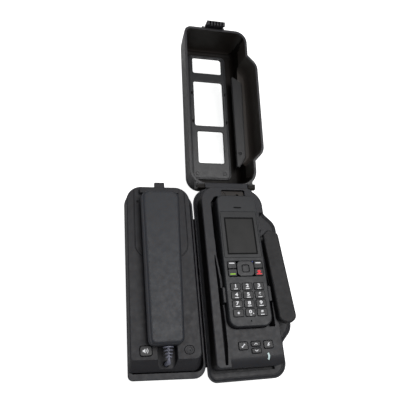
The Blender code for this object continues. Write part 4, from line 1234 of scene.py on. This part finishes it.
def make_handset_front():
    """The side that lies down on the housing, with the earpiece's well and its ring of holes."""
    low, high = box_mm("handset_front")
    steps = eased([(low.z, 3.5), (low.z + 0.8, 1.4), (low.z + 2.4, 0.6), (high.z - 0.8, 0.2)])
    front = lofts("front", [handset_outline()], steps + round_top(high.z, 0.4, 0.2))
    x, y = RECEIVER
    cut(front, [box_corners(23, 23, 11.4, (x, y))], low.z + 2.5, high.z, 0)
    ports = []
    for ring_radius, count in ((3.0, 6), (6.2, 12)):
        for index in range(count):
            angle = math.tau * index / count
            centre = (x + ring_radius * math.cos(angle), y + ring_radius * math.sin(angle))
            ports.append(box_corners(1.5, 1.5, 0.7, centre))
    cut(front, ports, high.z, low.z, 0.2)
    dress(front, "handset_face", "handset", HANDSET, "handset_plastic", "handset_front")
    low, high = box_mm("handset_receiver")
    can = rod("can", (x, y, low.z), (x, y, high.z), (high.x - low.x) / 2, 0.5, 64)
    dress(can, "receiver_can", "handset", INNER, "inner_black", "handset_receiver")


def cord_stations():
    """The (centre, direction, radius) of each ring along the ribbed strain relief and the cord."""
    forward = Vector((0, -1, 0))
    stations = []
    for rib in range(RELIEF_RIBS):
        start = RELIEF_START - rib * RIB_PITCH
        wide = RIB_RADIUS - rib * RIB_SHRINK
        profile = ((0, NECK_RADIUS), (0.05, wide - 0.35), (0.3, wide), (1.2, wide), (1.45, wide - 0.35))
        for along, radius in profile + ((1.5, NECK_RADIUS),):
            stations.append((Vector((0, start - along, RELIEF_Z)), forward, radius))
    bend = RELIEF_START - RELIEF_RIBS * RIB_PITCH - CORD_Y
    centre = Vector((0, CORD_Y + bend, RELIEF_Z - bend))
    for step in range(13):
        angle = math.radians(90) * step / 12
        spoke = Vector((0, -math.sin(angle), math.cos(angle)))
        along = Vector((0, -math.cos(angle), -math.sin(angle)))
        radius = NECK_RADIUS + (CORD_RADIUS - NECK_RADIUS) * step / 12
        stations.append((centre + spoke * bend, along, radius))
    low = box_mm("handset_cord")[0].z
    stations.append((Vector((0, CORD_Y, low)), Vector((0, 0, -1)), CORD_RADIUS))
    return stations


def make_cord():
    """The ribbed strain relief leaves the handset, then the cord turns down into the housing."""
    mesh = bmesh.new()
    across = Vector((1, 0, 0))
    rings = []
    for centre, along, radius in cord_stations():
        up = along.cross(across)
        line = []
        for side in range(36):
            angle = math.tau * side / 36
            offset = across * math.cos(angle) + up * math.sin(angle)
            line.append(mesh.verts.new(Vector((CORD_X, 0, 0)) + centre + offset * radius))
        rings.append(line)
    close_tube(mesh, rings)
    dress(solid("cord", mesh), "cord_relief", "handset", CORD_WITH_PAINTED_SHEEN, "cord_rubber", "handset_cord")


# ---------------------------------------------------------------- stage

AMBIENT = 0.145
FLOOR_GLOW = 0.97
KEY_POWER, FILL_POWER, BACK_POWER = 9.6, 1.5, 2.2
WHITE_LIGHT, COOL_LIGHT = (1.0, 1.0, 1.0), (0.95, 0.97, 1.0)
CAMERA_PLACE = (-0.1425, -0.1479, 0.6071)
CAMERA_TURN_DEG = (24.4635, -13.5912, -5.2154)
CAMERA_LENS_MM = 39.65
CAMERA_SHIFT = (0.0072, -0.0036)


def area_light(name, place, aim, size, power, colour):
    light = bpy.data.lights.new(name, "AREA")
    light.shape = "DISK"
    light.size = size
    light.energy = power
    light.color = colour
    lamp = show(name, light)
    lamp.location = place
    lamp.rotation_euler = (Vector(aim) - Vector(place)).to_track_quat("-Z", "Y").to_euler()


def make_world():
    """The camera sees plain white, while a dim cool light falls on the object from all sides."""
    world = bpy.data.worlds.new("studio")
    world.use_nodes = True
    tree = world.node_tree
    choice = tree.nodes.new("ShaderNodeMixShader")
    rays = tree.nodes.new("ShaderNodeLightPath")
    tree.links.new(rays.outputs["Is Camera Ray"], choice.inputs["Fac"])
    for socket, colour, strength in ((1, COOL_LIGHT, AMBIENT), (2, WHITE_LIGHT, 1.0)):
        shade = tree.nodes.new("ShaderNodeBackground")
        shade.inputs["Color"].default_value = (*colour, 1.0)
        shade.inputs["Strength"].default_value = strength
        tree.links.new(shade.outputs[0], choice.inputs[socket])
    tree.links.new(choice.outputs[0], tree.nodes["World Output"].inputs["Surface"])
    bpy.context.scene.world = world
    bpy.context.scene.view_settings.view_transform = "Standard"


def make_floor():
    """White paper that glows for the camera only, so that it meets the white background."""
    bpy.ops.mesh.primitive_plane_add(size=12, location=(0, 0, -0.0015))
    floor = bpy.context.object
    floor.name = "floor"
    nodes = Nodes("paper")
    seen = nodes.add("ShaderNodeLightPath").outputs["Is Camera Ray"]
    glow = nodes.add("ShaderNodeMath", {0: seen, 1: FLOOR_GLOW}, operation="MULTIPLY").outputs[0]
    nodes.wire(Base_Color=(0.8, 0.8, 0.8, 1.0), Roughness=0.9)
    nodes.wire(Emission_Color=(*WHITE_LIGHT, 1.0), Emission_Strength=glow)
    floor.data.materials.append(nodes.material)


def make_camera():
    view = bpy.data.cameras.new("camera")
    view.lens = CAMERA_LENS_MM
    view.shift_x, view.shift_y = CAMERA_SHIFT
    camera = show("camera", view)
    camera.location = CAMERA_PLACE
    camera.rotation_euler = [math.radians(angle) for angle in CAMERA_TURN_DEG]
    bpy.context.scene.camera = camera


def make_stage():
    make_world()
    make_floor()
    area_light("key_light", (0.33, 0.05, 1.45), (0, 0.0, 0), 0.9, KEY_POWER, (1.0, 0.99, 0.98))
    area_light("fill_light", (-1.2, -0.5, 0.16), (0, 0.0, 0.05), 0.5, FILL_POWER, COOL_LIGHT)
    area_light("back_light", (0.1, 1.3, 0.9), (0, 0.1, 0), 0.8, BACK_POWER, WHITE_LIGHT)
    make_camera()


def main():
    for node, look in PLAIN_NODES.items():
        frame["nodes"][node].data.materials.clear()
        frame["nodes"][node].data.materials.append(look)
    make_dock_tray()
    make_seal()
    make_hinge_pin()
    make_dock_cradle()
    make_spring_arm()
    make_antenna_plug()
    make_dock_keys()
    make_status_lamp()
    make_clips()
    make_dock_marks()
    make_lid_shell()
    make_lid_panel()
    make_lid_pad()
    make_latch()
    make_phone_front()
    make_phone_rear()
    make_phone_display()
    make_phone_keys()
    make_phone_marks()
    make_antenna()
    make_unit_base()
    make_unit_cover()
    make_speaker_key()
    make_microphone()
    make_end_stop()
    make_hook_and_ringer()
    make_handset_back()
    make_handset_front()
    make_cord()
    make_stage()


main()
